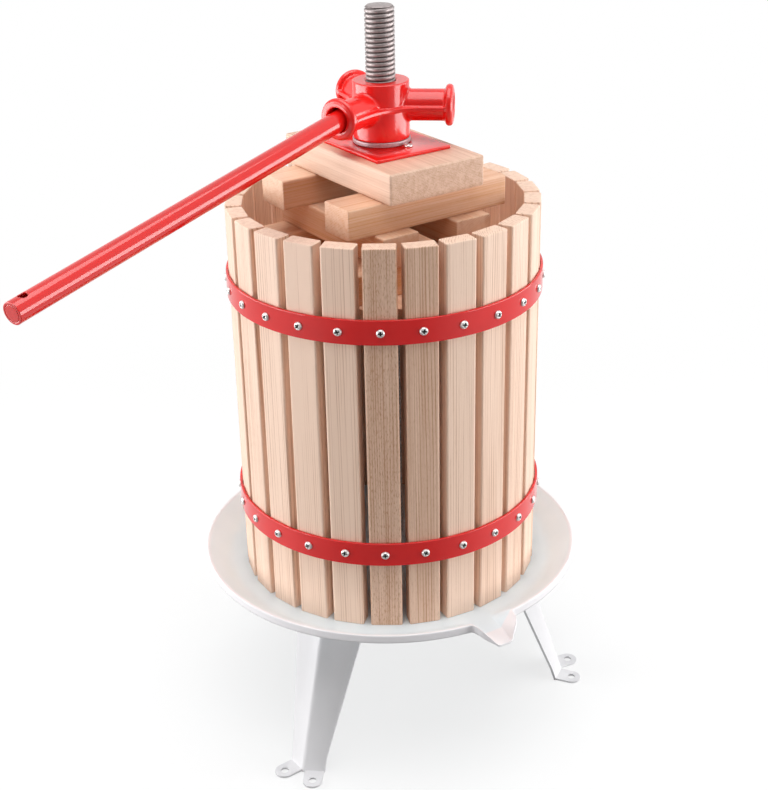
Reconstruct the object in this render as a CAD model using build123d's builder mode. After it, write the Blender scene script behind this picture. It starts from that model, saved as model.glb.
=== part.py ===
from build123d import *

import os
from math import atan2, cos, hypot, radians, sin, sqrt, tan

# Basket fruit press.
# A slatted beech basket stands on a pressed tray with three folded sheet legs. A fixed press screw
# rises through tray and basket. A cast head with three sockets runs down the screw on its thread and
# drives a stack of loose blocks onto two half-round press boards. A loose bar turns the head.
# Millimetres. The origin is on the ground under the screw, +Z is up and the spout points along -Y.

os.makedirs("parts", exist_ok=True)

# Basket of slats and hoops
slat_count = 25
slat_first_azimuth = -93.45
slat_thickness = 15.0
slat_height = 356.0
slat_gap = 3.1
slat_edge = 1.2
basket_inner_radius = 123.1
hoop_thickness = 2.5
hoop_width = 22.0
hoop_fit = 0.1
lower_hoop_height = 75.0
upper_hoop_height = 285.0

# Pan head wood screws of the hoops and of the pressure plate
wood_screw_head_diameter = 7.4
wood_screw_head_height = 2.4
wood_screw_head_sides = 6
wood_screw_shank_diameter = 3.4
wood_screw_shank_sides = 4
wood_screw_grip = 11.0

# Pressed tray with a rolled-down rim and a pouring spout
tray_height = 150.7
tray_sheet = 2.0
tray_margin = 14.3
tray_flare = 24.2
tray_wall_height = 15.3
tray_rim_flat = 3.0
tray_lip_depth = 7.5
spout_reach = 19.0
spout_slope_run = 12.0
spout_root_half_floor = 14.0
spout_tip_half_floor = 7.0
spout_side_lean = 10.0
spout_root_inset = 4.0

# Folded sheet legs
leg_azimuths = {"left_leg": -150.0, "right_leg": -30.0, "rear_leg": 90.0}
leg_sheet = 2.0
leg_fold = 24.0
leg_bend = 7.0
leg_top_inset = 27.0
leg_splay = 47.8
leg_top_width = 41.5
leg_foot_width = 20.0
leg_foot_straight = 13.0
foot_tab_width = 18.0
foot_tab_inset = 2.0
foot_hole_diameter = 7.5
foot_hole_reach = 12.5
top_tab_width = 20.0
top_tab_length = 28.0
top_tab_inset = 14.0
top_tab_hole_reach = 15.0
leg_bolt_diameter = 8.0
leg_bolt_flats = 13.0
leg_bolt_head = 5.3
leg_nut_height = 6.5
leg_bolt_end = 3.0
leg_bolt_sides = 8
bolt_clearance = 0.2

# Press screw and the nuts that clamp it to the tray
screw_diameter = 25.4
screw_length = 550.0
screw_tail = 27.0
screw_chamfer = 2.0
base_nut_flats = 36.0
base_nut_height = 19.0
base_nut_bore_sides = 18
thread_fit = 0.1
tray_screw_clearance = 0.5

# Loose stack between the head and the fruit
stack_azimuth = 3.7
board_rise = 264.8
board_thickness = 32.0
board_clearance = 4.0
board_split = 0.6
beam_width = 36.0
beam_height = 26.5
beam_length = 163.0
beam_edge = 1.5
beam_corner_inset = 5.0
middle_pair_offset = 37.8
upper_pair_offset = 51.2
block_width = 96.0
block_height = 26.5
block_screw_clearance = 3.0

# Pressure plate and thrust washer
plate_width = 76.0
plate_length = 98.0
plate_thickness = 3.0
plate_corner = 2.0
plate_screw_across = 7.0
plate_screw_along = 29.5
thrust_washer_radius = 25.0
thrust_washer_thickness = 4.0
thrust_washer_clearance = 0.5
plate_screw_clearance = 1.5

# Cast head with three sockets
head_bar_azimuth = -157.0
head_arm_count = 3
hub_wall = 11.5
hub_height = 49.0
arm_axis_height = 27.5
arm_reach = 61.8
arm_radius = 13.5
collar_radius = 17.6
collar_thickness = 6.5
socket_radius = 10.4
socket_depth = 26.0
web_thickness = 4.0
web_half_width = 17.0
web_corner = 50.0

# Loose turning bar, drooping in its socket
bar_diameter = 17.4
bar_wall = 2.2
bar_length = 382.0
bar_droop = 7.8
bar_fit = 0.1
bar_cross_hole = 7.0
bar_cross_hole_inset = 12.0
bar_plug_length = 6.0
bar_plug_fit = 0.05

# Places worked out from the sizes above
floor_top = tray_height + tray_sheet
slat_pitch = 360.0 / slat_count
slat_width = 2 * basket_inner_radius * tan(radians(slat_pitch / 2)) - slat_gap
slat_outer_radius = basket_inner_radius + slat_thickness
hoop_inner_radius = hypot(slat_outer_radius, slat_width / 2 - slat_edge) + hoop_fit
hoop_outer_radius = hoop_inner_radius + hoop_thickness
hoop_levels = {"lower": floor_top + lower_hoop_height, "upper": floor_top + upper_hoop_height}
slat_azimuths = [slat_first_azimuth + slat_pitch * place for place in range(slat_count)]

screw_radius = screw_diameter / 2
screw_bottom = tray_height - screw_tail

tray_floor_radius = hoop_inner_radius + tray_margin
tray_rim_radius = tray_floor_radius + tray_flare
tray_rim_top = floor_top + tray_wall_height
tray_wall_angle = atan2(tray_wall_height, tray_flare - tray_rim_flat)
tray_bore = screw_radius + tray_screw_clearance
spout_root = tray_floor_radius - spout_root_inset
spout_tip = tray_rim_radius + spout_reach

leg_top_radius = tray_floor_radius - leg_top_inset
leg_foot_radius = leg_top_radius + leg_splay
foot_tab_middle = foot_tab_inset + foot_tab_width / 2
top_tab_middle = top_tab_inset + top_tab_width / 2
leg_bolt_hole = leg_bolt_diameter + 2 * bolt_clearance
leg_nut_top = tray_height - leg_sheet

board_radius = basket_inner_radius - board_clearance
board_bottom = floor_top + board_rise
lower_pair_level = board_bottom + board_thickness
middle_pair_level = lower_pair_level + beam_height
upper_pair_level = middle_pair_level + beam_height
block_level = upper_pair_level + beam_height
lower_pair_reach = sqrt((board_radius - beam_corner_inset) ** 2 - (beam_length / 2) ** 2)
lower_pair_offset = lower_pair_reach - beam_width / 2
plate_level = block_level + block_height
plate_top = plate_level + plate_thickness
hub_bottom = plate_top + thrust_washer_thickness

hub_radius = screw_radius + thread_fit + hub_wall
arm_axis_level = hub_bottom + arm_axis_height
web_reach = arm_reach - collar_thickness
arm_azimuths = [head_bar_azimuth + 360.0 / head_arm_count * arm for arm in range(head_arm_count)]

# The bar's inner end lifts against the roof of its socket while its underside rests on the mouth.
bar_radius = bar_diameter / 2
bar_slope = tan(radians(bar_droop))
bar_end_lift = socket_radius - bar_fit - bar_radius * cos(radians(bar_droop))
bar_mouth_drop = socket_radius - bar_fit - bar_radius / cos(radians(bar_droop))
bar_inner_end = arm_reach - (bar_end_lift + bar_mouth_drop) / bar_slope


def around(azimuth, radial=0.0, across=0.0, height=0.0, turn=0.0):
    """Level plane at a point given along and across an azimuth, its x axis turned from that azimuth."""
    heading = radians(azimuth)
    facing = radians(azimuth + turn)
    x = radial * cos(heading) - across * sin(heading)
    y = radial * sin(heading) + across * cos(heading)
    return Plane(origin=(x, y, height), x_dir=(cos(facing), sin(facing), 0), z_dir=(0, 0, 1))


def facing_out(azimuth, radial, height):
    """Upright plane at a radius, facing away from the screw, its x axis level and its y axis up."""
    heading = radians(azimuth)
    outward = (cos(heading), sin(heading), 0)
    origin = (radial * outward[0], radial * outward[1], height)
    return Plane(origin=origin, x_dir=(-outward[1], outward[0], 0), z_dir=outward)


def hand_over(piece, name):
    """Label a finished piece and write it under its own name."""
    piece.part.label = name
    export_step(piece.part, f"parts/{name}.step")


def make_slat(name, azimuth):
    """One upright slat with its long edges eased."""
    with BuildPart() as slat:
        middle = basket_inner_radius + slat_thickness / 2
        with BuildSketch(around(azimuth, middle, 0, floor_top)) as section:
            Rectangle(slat_thickness, slat_width)
            chamfer(section.vertices(), slat_edge)
        extrude(amount=slat_height)
    hand_over(slat, name)


def make_hoop(name, level):
    """Closed flat hoop round the slats."""
    with BuildPart() as hoop:
        with BuildSketch(Plane.XY.offset(level - hoop_width / 2)):
            Circle(hoop_outer_radius)
            Circle(hoop_inner_radius, mode=Mode.SUBTRACT)
        extrude(amount=hoop_width)
    hand_over(hoop, name)


def make_wood_screws(name, seats, length):
    """Plain few-sided screws, one on each seat plane, with their shanks reaching down behind it."""
    with BuildPart() as screws:
        for seat in seats:
            with BuildSketch(seat):
                RegularPolygon(wood_screw_head_diameter / 2, wood_screw_head_sides)
            extrude(amount=wood_screw_head_height)
            with BuildSketch(seat):
                RegularPolygon(wood_screw_shank_diameter / 2, wood_screw_shank_sides)
            extrude(amount=-length)
    hand_over(screws, name)


def trough_sections(level, depth, side, tip):
    """Planes and corner points of the spout's trough at its root and tip, widened by the sheet."""
    lean = spout_side_lean * depth / tray_wall_height
    for reach, half_floor in ((spout_root, spout_root_half_floor), (tip, spout_tip_half_floor)):
        half = half_floor + side
        corners = [(-half - lean, depth), (-half, 0), (half, 0), (half + lean, depth)]
        yield facing_out(-90, reach, level), corners


def make_tray():
    """Pressed tray: flat floor, flared wall, turned-down lip and a trough pulled out into a spout."""
    underside_bend = tray_floor_radius + tray_sheet * tan(tray_wall_angle / 2)
    lip_inside = tray_rim_radius - tray_sheet
    trough_side = tray_sheet / cos(atan2(spout_side_lean, tray_wall_height))
    with BuildPart() as tray:
        for section, corners in trough_sections(
            tray_height, tray_sheet + tray_wall_height, trough_side, spout_tip
        ):
            with BuildSketch(section):
                with BuildLine():
                    Polyline(*corners, close=True)
                make_face()
        loft(ruled=True)
        with BuildSketch(Plane.XZ):
            with BuildLine():
                Polyline(
                    (0, floor_top),
                    (tray_floor_radius, floor_top),
                    (tray_rim_radius - tray_rim_flat, tray_rim_top),
                    (tray_rim_radius - tray_rim_flat, tray_rim_top + tray_sheet),
                    (0, tray_rim_top + tray_sheet),
                    close=True,
                )
            make_face()
        revolve(axis=Axis.Z, mode=Mode.SUBTRACT)
        with BuildSketch(Plane.XZ):
            with BuildLine():
                Polyline(
                    (tray_bore, tray_height),
                    (underside_bend, tray_height),
                    (lip_inside, tray_rim_top - tray_sheet),
                    (lip_inside, tray_rim_top - tray_lip_depth),
                    (tray_rim_radius, tray_rim_top - tray_lip_depth),
                    (tray_rim_radius, tray_rim_top),
                    (tray_rim_radius - tray_rim_flat, tray_rim_top),
                    (tray_floor_radius, floor_top),
                    (tray_bore, floor_top),
                    close=True,
                )
            make_face()
        revolve(axis=Axis.Z)
        for section, corners in trough_sections(floor_top, tray_wall_height, 0, spout_tip + tray_sheet):
            with BuildSketch(section):
                with BuildLine():
                    Polyline(*corners, close=True)
                make_face()
        loft(ruled=True, mode=Mode.SUBTRACT)
        with BuildSketch(Plane.YZ):
            with BuildLine():
                Polyline(
                    (-spout_tip, floor_top),
                    (-spout_tip + spout_slope_run, tray_rim_top),
                    (-spout_tip - spout_slope_run, tray_rim_top),
                    (-spout_tip - spout_slope_run, floor_top),
                    close=True,
                )
            make_face()
        extrude(amount=spout_root_half_floor + 2 * spout_side_lean, both=True, mode=Mode.SUBTRACT)
        for place in leg_bolt_places(floor_top):
            with BuildSketch(place):
                RegularPolygon(leg_bolt_hole / 2, leg_bolt_sides, False)
            extrude(amount=-2 * tray_sheet, mode=Mode.SUBTRACT)
    hand_over(tray, "tray")


def leg_bolt_places(height):
    """Level planes on the six bolt axes where the legs' top tabs meet the tray."""
    fold = radians(leg_fold)
    radial = leg_top_radius - top_tab_middle * sin(fold) - top_tab_hole_reach * cos(fold)
    across = top_tab_middle * cos(fold) - top_tab_hole_reach * sin(fold)
    return [around(azimuth, radial, side * across, height)
            for azimuth in leg_azimuths.values() for side in (-1, 1)]


def make_leg(name, azimuth):
    """Sheet folded to a V with the bend outwards, trimmed to a taper, its tabs turned out flat."""
    fold = radians(leg_fold)
    slope = hypot(leg_splay, tray_height)
    bend_foot = around(azimuth, leg_foot_radius)
    rise = bend_foot.z_dir * tray_height - bend_foot.x_dir * leg_splay
    section = Plane(bend_foot.origin - rise, x_dir=bend_foot.y_dir, z_dir=rise)
    arm_in = leg_top_width * sin(fold)
    arm_across = leg_top_width * cos(fold)
    with BuildPart() as leg:
        with BuildSketch(section):
            with BuildLine():
                FilletPolyline(
                    (-arm_across, arm_in),
                    (0, 0),
                    (arm_across, arm_in),
                    (arm_across - leg_sheet * sin(fold), arm_in + leg_sheet * cos(fold)),
                    (0, leg_sheet / cos(fold)),
                    (leg_sheet * sin(fold) - arm_across, arm_in + leg_sheet * cos(fold)),
                    radius=(0, leg_bend, 0, 0, leg_bend - leg_sheet, 0),
                    close=True,
                )
            make_face()
        extrude(amount=3 * slope)
        with BuildSketch(facing_out(azimuth, 0, 0)):
            with BuildLine():
                Polyline(
                    (-leg_foot_width * cos(fold), 0),
                    (leg_foot_width * cos(fold), 0),
                    (leg_foot_width * cos(fold), leg_foot_straight),
                    (arm_across, tray_height),
                    (-arm_across, tray_height),
                    (-leg_foot_width * cos(fold), leg_foot_straight),
                    close=True,
                )
            make_face()
        extrude(amount=leg_foot_radius + leg_top_radius, mode=Mode.INTERSECT)
        for side in (-1, 1):
            foot_radial = leg_foot_radius - foot_tab_middle * sin(fold)
            foot_across = side * foot_tab_middle * cos(fold)
            with BuildSketch(around(azimuth, foot_radial, foot_across, 0, side * leg_fold)):
                with Locations(((foot_hole_reach - leg_sheet) / 2, 0)):
                    Rectangle(foot_hole_reach + leg_sheet, foot_tab_width)
                with Locations((foot_hole_reach, 0)):
                    Circle(foot_tab_width / 2)
                    Circle(foot_hole_diameter / 2, mode=Mode.SUBTRACT)
            extrude(amount=leg_sheet)
            top_radial = leg_top_radius - top_tab_middle * sin(fold)
            top_across = side * top_tab_middle * cos(fold)
            with BuildSketch(around(azimuth, top_radial, top_across, tray_height, side * leg_fold)):
                with Locations((-top_tab_length / 2, 0)):
                    Rectangle(top_tab_length, top_tab_width)
                with Locations((-top_tab_hole_reach, 0)):
                    RegularPolygon(leg_bolt_hole / 2, leg_bolt_sides, False, mode=Mode.SUBTRACT)
            extrude(amount=-leg_sheet)
    hand_over(leg, name)


def make_leg_bolts():
    """Hex bolts through the tray floor and the legs' top tabs."""
    with BuildPart() as bolts:
        for place in leg_bolt_places(floor_top):
            with BuildSketch(place):
                RegularPolygon(leg_bolt_flats / 2, 6, major_radius=False)
            extrude(amount=leg_bolt_head)
            with BuildSketch(place):
                RegularPolygon(leg_bolt_diameter / 2, leg_bolt_sides)
            extrude(amount=leg_nut_top - leg_nut_height - leg_bolt_end - floor_top)
    hand_over(bolts, "leg_bolts")


def make_leg_nuts():
    """Hex nuts under the legs' top tabs."""
    with BuildPart() as nuts:
        for place in leg_bolt_places(leg_nut_top):
            with BuildSketch(place):
                RegularPolygon(leg_bolt_flats / 2, 6, major_radius=False)
                RegularPolygon(leg_bolt_diameter / 2, leg_bolt_sides, False, mode=Mode.SUBTRACT)
            extrude(amount=-leg_nut_height)
    hand_over(nuts, "leg_nuts")


def make_press_screw():
    """Press screw as a plain shaft at its outer thread diameter, with a chamfered top."""
    with BuildPart() as press_screw:
        with BuildSketch(Plane.XY.offset(screw_bottom)):
            Circle(screw_radius)
        extrude(amount=screw_length)
        chamfer(press_screw.faces().sort_by(Axis.Z)[-1].edges(), screw_chamfer)
    hand_over(press_screw, "press_screw")


def make_base_nuts():
    """Two hex nuts that clamp the press screw to the tray, above and below its floor."""
    with BuildPart() as base_nuts:
        for level in (floor_top, tray_height - base_nut_height):
            with BuildSketch(Plane.XY.offset(level)):
                RegularPolygon(base_nut_flats / 2, 6, major_radius=False)
                RegularPolygon(screw_radius + thread_fit, base_nut_bore_sides, False, mode=Mode.SUBTRACT)
            extrude(amount=base_nut_height)
    hand_over(base_nuts, "base_nuts")


def make_board(name, side):
    """Half-round press board with a half notch for the screw, on one side of the split."""
    with BuildPart() as board:
        with BuildSketch(around(stack_azimuth, 0, 0, board_bottom)):
            Circle(board_radius)
            Circle(screw_radius + block_screw_clearance, mode=Mode.SUBTRACT)
            with Locations((side * (board_split / 2 - board_radius), 0)):
                Rectangle(2 * board_radius, 2 * board_radius, mode=Mode.SUBTRACT)
        extrude(amount=board_thickness)
    hand_over(board, name)


def make_beam(name, level, along, offset):
    """Square-cut beam lying along or across the stack, beside the screw."""
    with BuildPart() as beam:
        with BuildSketch(around(stack_azimuth, height=level)):
            if along:
                with Locations((0, offset)):
                    Rectangle(beam_length, beam_width)
            else:
                with Locations((offset, 0)):
                    Rectangle(beam_width, beam_length)
        extrude(amount=beam_height)
        chamfer(beam.edges(), beam_edge)
    hand_over(beam, name)


def plate_screw_places(height):
    """Level planes on the two screw axes of the pressure plate, at opposite corners."""
    return [around(stack_azimuth, side * plate_screw_across, -side * plate_screw_along, height)
            for side in (1, -1)]


def make_top_block():
    """Top block that spreads the plate's load, bored for the screw."""
    with BuildPart() as top_block:
        with BuildSketch(around(stack_azimuth, height=block_level)):
            Rectangle(block_width, beam_length)
        extrude(amount=block_height)
        chamfer(top_block.edges(), beam_edge)
        with Locations((0, 0, plate_level)):
            Hole(screw_radius + block_screw_clearance, 2 * block_height)
    hand_over(top_block, "top_block")


def make_pressure_plate():
    """Pressure plate along the top block, bored for the screw."""
    with BuildPart() as pressure_plate:
        with BuildSketch(around(stack_azimuth, height=plate_level)):
            RectangleRounded(plate_width, plate_length, plate_corner)
        extrude(amount=plate_thickness)
        with Locations((0, 0, plate_top)):
            Hole(screw_radius + plate_screw_clearance, 2 * plate_thickness)
    hand_over(pressure_plate, "pressure_plate")


def make_thrust_washer():
    """Thick washer that the turning head bears on."""
    with BuildPart() as thrust_washer:
        with BuildSketch(Plane.XY.offset(plate_top)):
            Circle(thrust_washer_radius)
            Circle(screw_radius + thrust_washer_clearance, mode=Mode.SUBTRACT)
        extrude(amount=thrust_washer_thickness)
    hand_over(thrust_washer, "thrust_washer")


def make_press_head():
    """Cast head: hub on the screw, three socket arms with collars and a web that joins them."""
    with BuildPart() as press_head:
        for azimuth in arm_azimuths:
            with BuildSketch(facing_out(azimuth, arm_reach - collar_thickness, arm_axis_level)):
                Circle(collar_radius)
            extrude(amount=collar_thickness)
        with BuildSketch(Plane.XY.offset(hub_bottom)):
            Circle(hub_radius)
        extrude(amount=hub_height)
        with BuildSketch(Plane.XY.offset(arm_axis_level - web_thickness / 2)) as web:
            for azimuth in arm_azimuths:
                with Locations(Location((0, 0, 0), (0, 0, azimuth))):
                    Rectangle(web_reach, 2 * web_half_width, align=(Align.MIN, Align.CENTER))
            fillet(web.vertices().sort_by_distance((0, 0, 0))[:head_arm_count], web_corner)
        extrude(amount=web_thickness)
        for azimuth in arm_azimuths:
            with BuildSketch(facing_out(azimuth, 0, arm_axis_level)):
                Circle(arm_radius)
            extrude(amount=arm_reach)
        with Locations((0, 0, hub_bottom + hub_height)):
            Hole(screw_radius + thread_fit, 2 * hub_height)
        with Locations(*[facing_out(azimuth, arm_reach, arm_axis_level) for azimuth in arm_azimuths]):
            Hole(socket_radius, socket_depth)
    hand_over(press_head, "press_head")


def bar_plane(distance):
    """Plane square to the drooping bar, at a distance from its inner end, its y axis up."""
    heading = radians(head_bar_azimuth)
    droop = radians(bar_droop)
    outward = (cos(droop) * cos(heading), cos(droop) * sin(heading), -sin(droop))
    start = (bar_inner_end * cos(heading), bar_inner_end * sin(heading), arm_axis_level + bar_end_lift)
    origin = tuple(place + distance * step for place, step in zip(start, outward))
    return Plane(origin=origin, x_dir=(-sin(heading), cos(heading), 0), z_dir=outward)


def make_bar():
    """Turning bar of round tube with a cross hole near its outer end."""
    with BuildPart() as bar:
        with BuildSketch(bar_plane(0)):
            Circle(bar_radius)
            Circle(bar_radius - bar_wall, mode=Mode.SUBTRACT)
        extrude(amount=bar_length)
        across = bar_plane(bar_length - bar_cross_hole_inset)
        with Locations(Plane(origin=across.origin, x_dir=across.x_dir, z_dir=across.y_dir)):
            Hole(bar_cross_hole / 2, bar_diameter)
    hand_over(bar, "bar")


def make_bar_plug():
    """Plug pressed flush into the outer end of the bar."""
    with BuildPart() as bar_plug:
        with BuildSketch(bar_plane(bar_length - bar_plug_length)):
            Circle(bar_radius - bar_wall - bar_plug_fit)
        extrude(amount=bar_plug_length)
    hand_over(bar_plug, "bar_plug")


for place, slat_azimuth in enumerate(slat_azimuths):
    make_slat(f"slat_{place + 1:02d}", slat_azimuth)
for hoop_name, hoop_level in hoop_levels.items():
    make_hoop(f"{hoop_name}_hoop", hoop_level)
    hoop_seats = [facing_out(azimuth, hoop_outer_radius, hoop_level) for azimuth in slat_azimuths]
    hoop_screw_length = hoop_outer_radius - slat_outer_radius + wood_screw_grip
    make_wood_screws(f"{hoop_name}_hoop_screws", hoop_seats, hoop_screw_length)

make_tray()
for leg_name, leg_azimuth in leg_azimuths.items():
    make_leg(leg_name, leg_azimuth)
make_leg_bolts()
make_leg_nuts()

make_press_screw()
make_base_nuts()

make_board("press_board_left", -1)
make_board("press_board_right", 1)
for beam_name, beam_side in (("front", -1), ("rear", 1)):
    make_beam(f"lower_{beam_name}_beam", lower_pair_level, True, beam_side * lower_pair_offset)
    make_beam(f"upper_{beam_name}_beam", upper_pair_level, True, beam_side * upper_pair_offset)
for beam_name, beam_side in (("left", -1), ("right", 1)):
    make_beam(f"middle_{beam_name}_beam", middle_pair_level, False, beam_side * middle_pair_offset)
make_top_block()
make_pressure_plate()
make_wood_screws("plate_screws", plate_screw_places(plate_top), plate_thickness + wood_screw_grip)
make_thrust_washer()
make_press_head()
make_bar()
make_bar_plug()
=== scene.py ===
"""Looks of a basket fruit press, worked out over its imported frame.

The press stands on the ground with its screw on the Z axis and its spout along -Y. Everything is in metres in that
frame, and each piece has its place in its own mesh.
"""

from math import cos, pi, radians, sin, tan

import bmesh
import bpy
import numpy as np
from bpy.props import FloatProperty, FloatVectorProperty, IntProperty, PointerProperty
from bpy.types import Operator, Panel, PropertyGroup
from mathutils import Matrix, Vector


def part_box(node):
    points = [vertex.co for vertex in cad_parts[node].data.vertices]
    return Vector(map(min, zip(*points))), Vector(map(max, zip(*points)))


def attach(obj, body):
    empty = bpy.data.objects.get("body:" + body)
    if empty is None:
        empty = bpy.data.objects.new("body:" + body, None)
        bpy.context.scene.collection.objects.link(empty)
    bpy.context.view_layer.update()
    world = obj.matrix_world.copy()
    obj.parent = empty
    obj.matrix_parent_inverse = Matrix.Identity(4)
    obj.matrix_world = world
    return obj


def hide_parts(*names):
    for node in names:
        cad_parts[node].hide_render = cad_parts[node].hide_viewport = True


bl_info = {
    "name": "Basket fruit press",
    "version": (1, 0, 0),
    "blender": (4, 5, 0),
    "location": "View3D > Sidebar > Fruit Press",
    "description": "Dresses the packed frame of a basket fruit press and sets its studio",
    "category": "Add Mesh",
}

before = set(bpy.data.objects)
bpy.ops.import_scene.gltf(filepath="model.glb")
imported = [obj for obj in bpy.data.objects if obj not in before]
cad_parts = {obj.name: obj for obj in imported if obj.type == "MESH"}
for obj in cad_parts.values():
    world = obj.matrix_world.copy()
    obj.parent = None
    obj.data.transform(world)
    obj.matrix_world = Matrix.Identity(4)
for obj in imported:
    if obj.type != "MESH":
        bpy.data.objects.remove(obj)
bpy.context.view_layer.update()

TURN = 2 * pi
UP = np.array((0.0, 0.0, 1.0))
MERGE = 1e-6  # points closer than this are one
CREASE = radians(35)  # edges that bend further than this stay sharp
CORNER_FLAT = 0.0008  # flat beside a rounded corner that keeps the corner's shading off the face
GRAIN_REACH = 5.0  # how far apart boards may be cut from the wood, so that no two have the same grain
SLAT_TONES_WITH_PAINTED_SHADE = {21: -0.40, 22: -0.30, 23: 0.16, 24: 0.15, 0: -0.32}  # tones of slats set one by one, counted from 0; 23 and 24, which face the front, are darker as painted shade
FLECKED_SLAT = 23  # the slat with the strongest ray flecks
SLAT_END_TONE = -0.25  # one tone for all the slats' sawn ends, which keeps the front slats' painted shade off their tops

SCREW_LOW, SCREW_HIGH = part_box("press_screw")
TRAY_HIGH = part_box("tray")[1]
SLAT_LOW, SLAT_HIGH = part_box("slat_01")
PLATE_LOW, PLATE_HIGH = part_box("pressure_plate")
WASHER_LOW, WASHER_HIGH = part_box("thrust_washer")
HEAD_LOW, HEAD_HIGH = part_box("press_head")


def length(name, words, default):
    """A length that a user may change."""
    return FloatProperty(name=name, description=words, default=default, min=0.0, precision=5, unit="LENGTH")


def angle(name, words, default):
    """An angle that a user may change, with its default in degrees."""
    return FloatProperty(name=name, description=words, default=radians(default), subtype="ANGLE")


def colour(name, words, default):
    """A colour that a user may change."""
    return FloatVectorProperty(name=name, description=words, default=default, size=3, min=0.0, max=1.0,
                               subtype="COLOR")


def power(name, words, default):
    """A lamp's power that a user may change."""
    return FloatProperty(name=name, description=words, default=default, unit="POWER")


class BasketSizes(PropertyGroup):
    """Sizes of the slats, their hoops and the wood screws."""

    slat_count: IntProperty(name="Slats", description="Slats round the basket", default=25, min=3)
    slat_first: angle("First slat", "Azimuth of the first slat", -93.45)
    inner_radius: length("Inner radius", "From the screw to the inside of a slat", 0.1231)
    slat_width: length("Slat width", "Width of a slat along the hoop", 0.0280)
    slat_thickness: length("Slat thickness", "Thickness of a slat", 0.0150)
    slat_edge: length("Slat edge", "Rounding of a slat's edges", 0.0016)
    hoop_radius: length("Hoop radius", "Outside radius of a hoop", 0.14129)
    hoop_thickness: length("Hoop thickness", "Thickness of a hoop's strap", 0.0025)
    hoop_edge: length("Hoop edge", "Rounding of a strap's edges", 0.0007)
    head_radius: length("Screw head radius", "Radius of a pan head", 0.0037)
    head_height: length("Screw head height", "Height of a pan head", 0.0024)
    shank_radius: length("Shank radius", "Radius of a wood screw's shank", 0.0017)
    shank_length: length("Shank length", "Length of a wood screw's shank", 0.0140)


class TraySizes(PropertyGroup):
    """Sizes of the pressed tray and its spout."""

    floor_radius: length("Floor radius", "Radius where the wall starts to rise", 0.15309)
    rim_radius: length("Rim radius", "Outside radius of the rim", 0.17729)
    sheet: length("Sheet", "Thickness of the sheet", 0.0020)
    bore: length("Bore", "Radius of the hole for the screw", 0.0132)
    rim_flat: length("Rim flat", "Width of the rim's top", 0.0030)
    lip: length("Lip", "Depth of the turned-down lip", 0.0075)
    spout_tip: length("Spout tip", "From the screw to the tip of the spout", 0.19629)
    spout_root: length("Spout root", "From the screw to where the spout starts", 0.14909)
    root_half: length("Root half width", "Half the floor's width at the spout's root", 0.0140)
    tip_half: length("Tip half width", "Half the floor's width at the spout's tip", 0.0070)
    side_lean: length("Side lean", "How far the spout's sides lean out at rim height", 0.0100)
    slope_run: length("Slope run", "How far back the spout's sides rise to the rim", 0.0120)


class DriveSizes(PropertyGroup):
    """Sizes of the screw, the loose stack with its plate and washer, and the turning bar."""

    pitch: length("Thread pitch", "Rise of the thread in one turn", 0.0040)
    thread_depth: length("Thread depth", "Depth of the thread", 0.0016)
    screw_chamfer: length("Screw chamfer", "Chamfer at the top of the screw", 0.0020)
    stack_azimuth: angle("Stack azimuth", "How far the loose blocks are turned", 3.7)
    block_edge: length("Block edge", "Rounding of the blocks' edges", 0.0016)
    plate_width: length("Plate width", "Width of the pressure plate", 0.0760)
    plate_length: length("Plate length", "Length of the pressure plate along the top block", 0.0980)
    plate_corner: length("Plate corner", "Rounding of the plate's corners", 0.0020)
    plate_bore: length("Plate bore", "Radius of the plate's hole", 0.0142)
    block_bore: length("Block bore", "Radius of the top block's hole", 0.0157)
    plate_screw_across: length("Plate screw across", "From the plate's middle to a screw, across the plate", 0.0070)
    plate_screw_along: length("Plate screw along", "From the plate's middle to a screw, along the plate", 0.0295)
    beam_width: length("Beam width", "Width of a loose beam", 0.0360)
    beam_span: length("Beam length", "Length of a loose beam and of the top block", 0.1630)
    block_across: length("Block width", "Width of the top block", 0.0960)
    washer_bore: length("Washer bore", "Radius of the thrust washer's hole", 0.0132)
    bar_droop: angle("Bar droop", "How far the bar hangs below level", 7.8)
    bar_length: length("Bar length", "Length of the turning bar", 0.3820)
    bar_radius: length("Bar radius", "Radius of the turning bar", 0.0087)
    bar_wall: length("Bar wall", "Thickness of the bar's wall", 0.0022)
    hole_radius: length("Hole radius", "Radius of the bar's cross hole", 0.0035)
    hole_inset: length("Hole inset", "From the bar's far end to its cross hole", 0.0120)
    plug_radius: length("Plug radius", "Radius of the plug in the bar's far end", 0.00645)
    plug_length: length("Plug length", "Length of the plug in the bar's far end", 0.0060)


class HeadSizes(PropertyGroup):
    """Sizes of the cast head."""

    hub_radius: length("Hub radius", "Radius of the hub", 0.0243)
    head_bore: length("Bore", "Radius of the hole for the screw", 0.0128)
    arm_height: length("Arm height", "Height of the arms' axes above the ground", 0.5900)
    arm_radius: length("Arm radius", "Radius of an arm", 0.0135)
    arm_reach: length("Arm reach", "From the screw to the mouth of a socket", 0.0618)
    collar_radius: length("Collar radius", "Radius of the collar at a socket's mouth", 0.0176)
    collar_length: length("Collar length", "Length of the collar", 0.0065)
    socket_radius: length("Socket radius", "Radius of a socket", 0.0104)
    socket_depth: length("Socket depth", "Depth of a socket", 0.0260)
    web_half: length("Web half width", "Half the width of the web along an arm", 0.0170)
    web_thick: length("Web thickness", "Thickness of the web", 0.0034)
    web_corner: length("Web corner", "Radius of the web's sweep between two arms", 0.0500)
    first_arm: angle("First arm", "Azimuth of the arm that holds the bar", -157.0)


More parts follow.
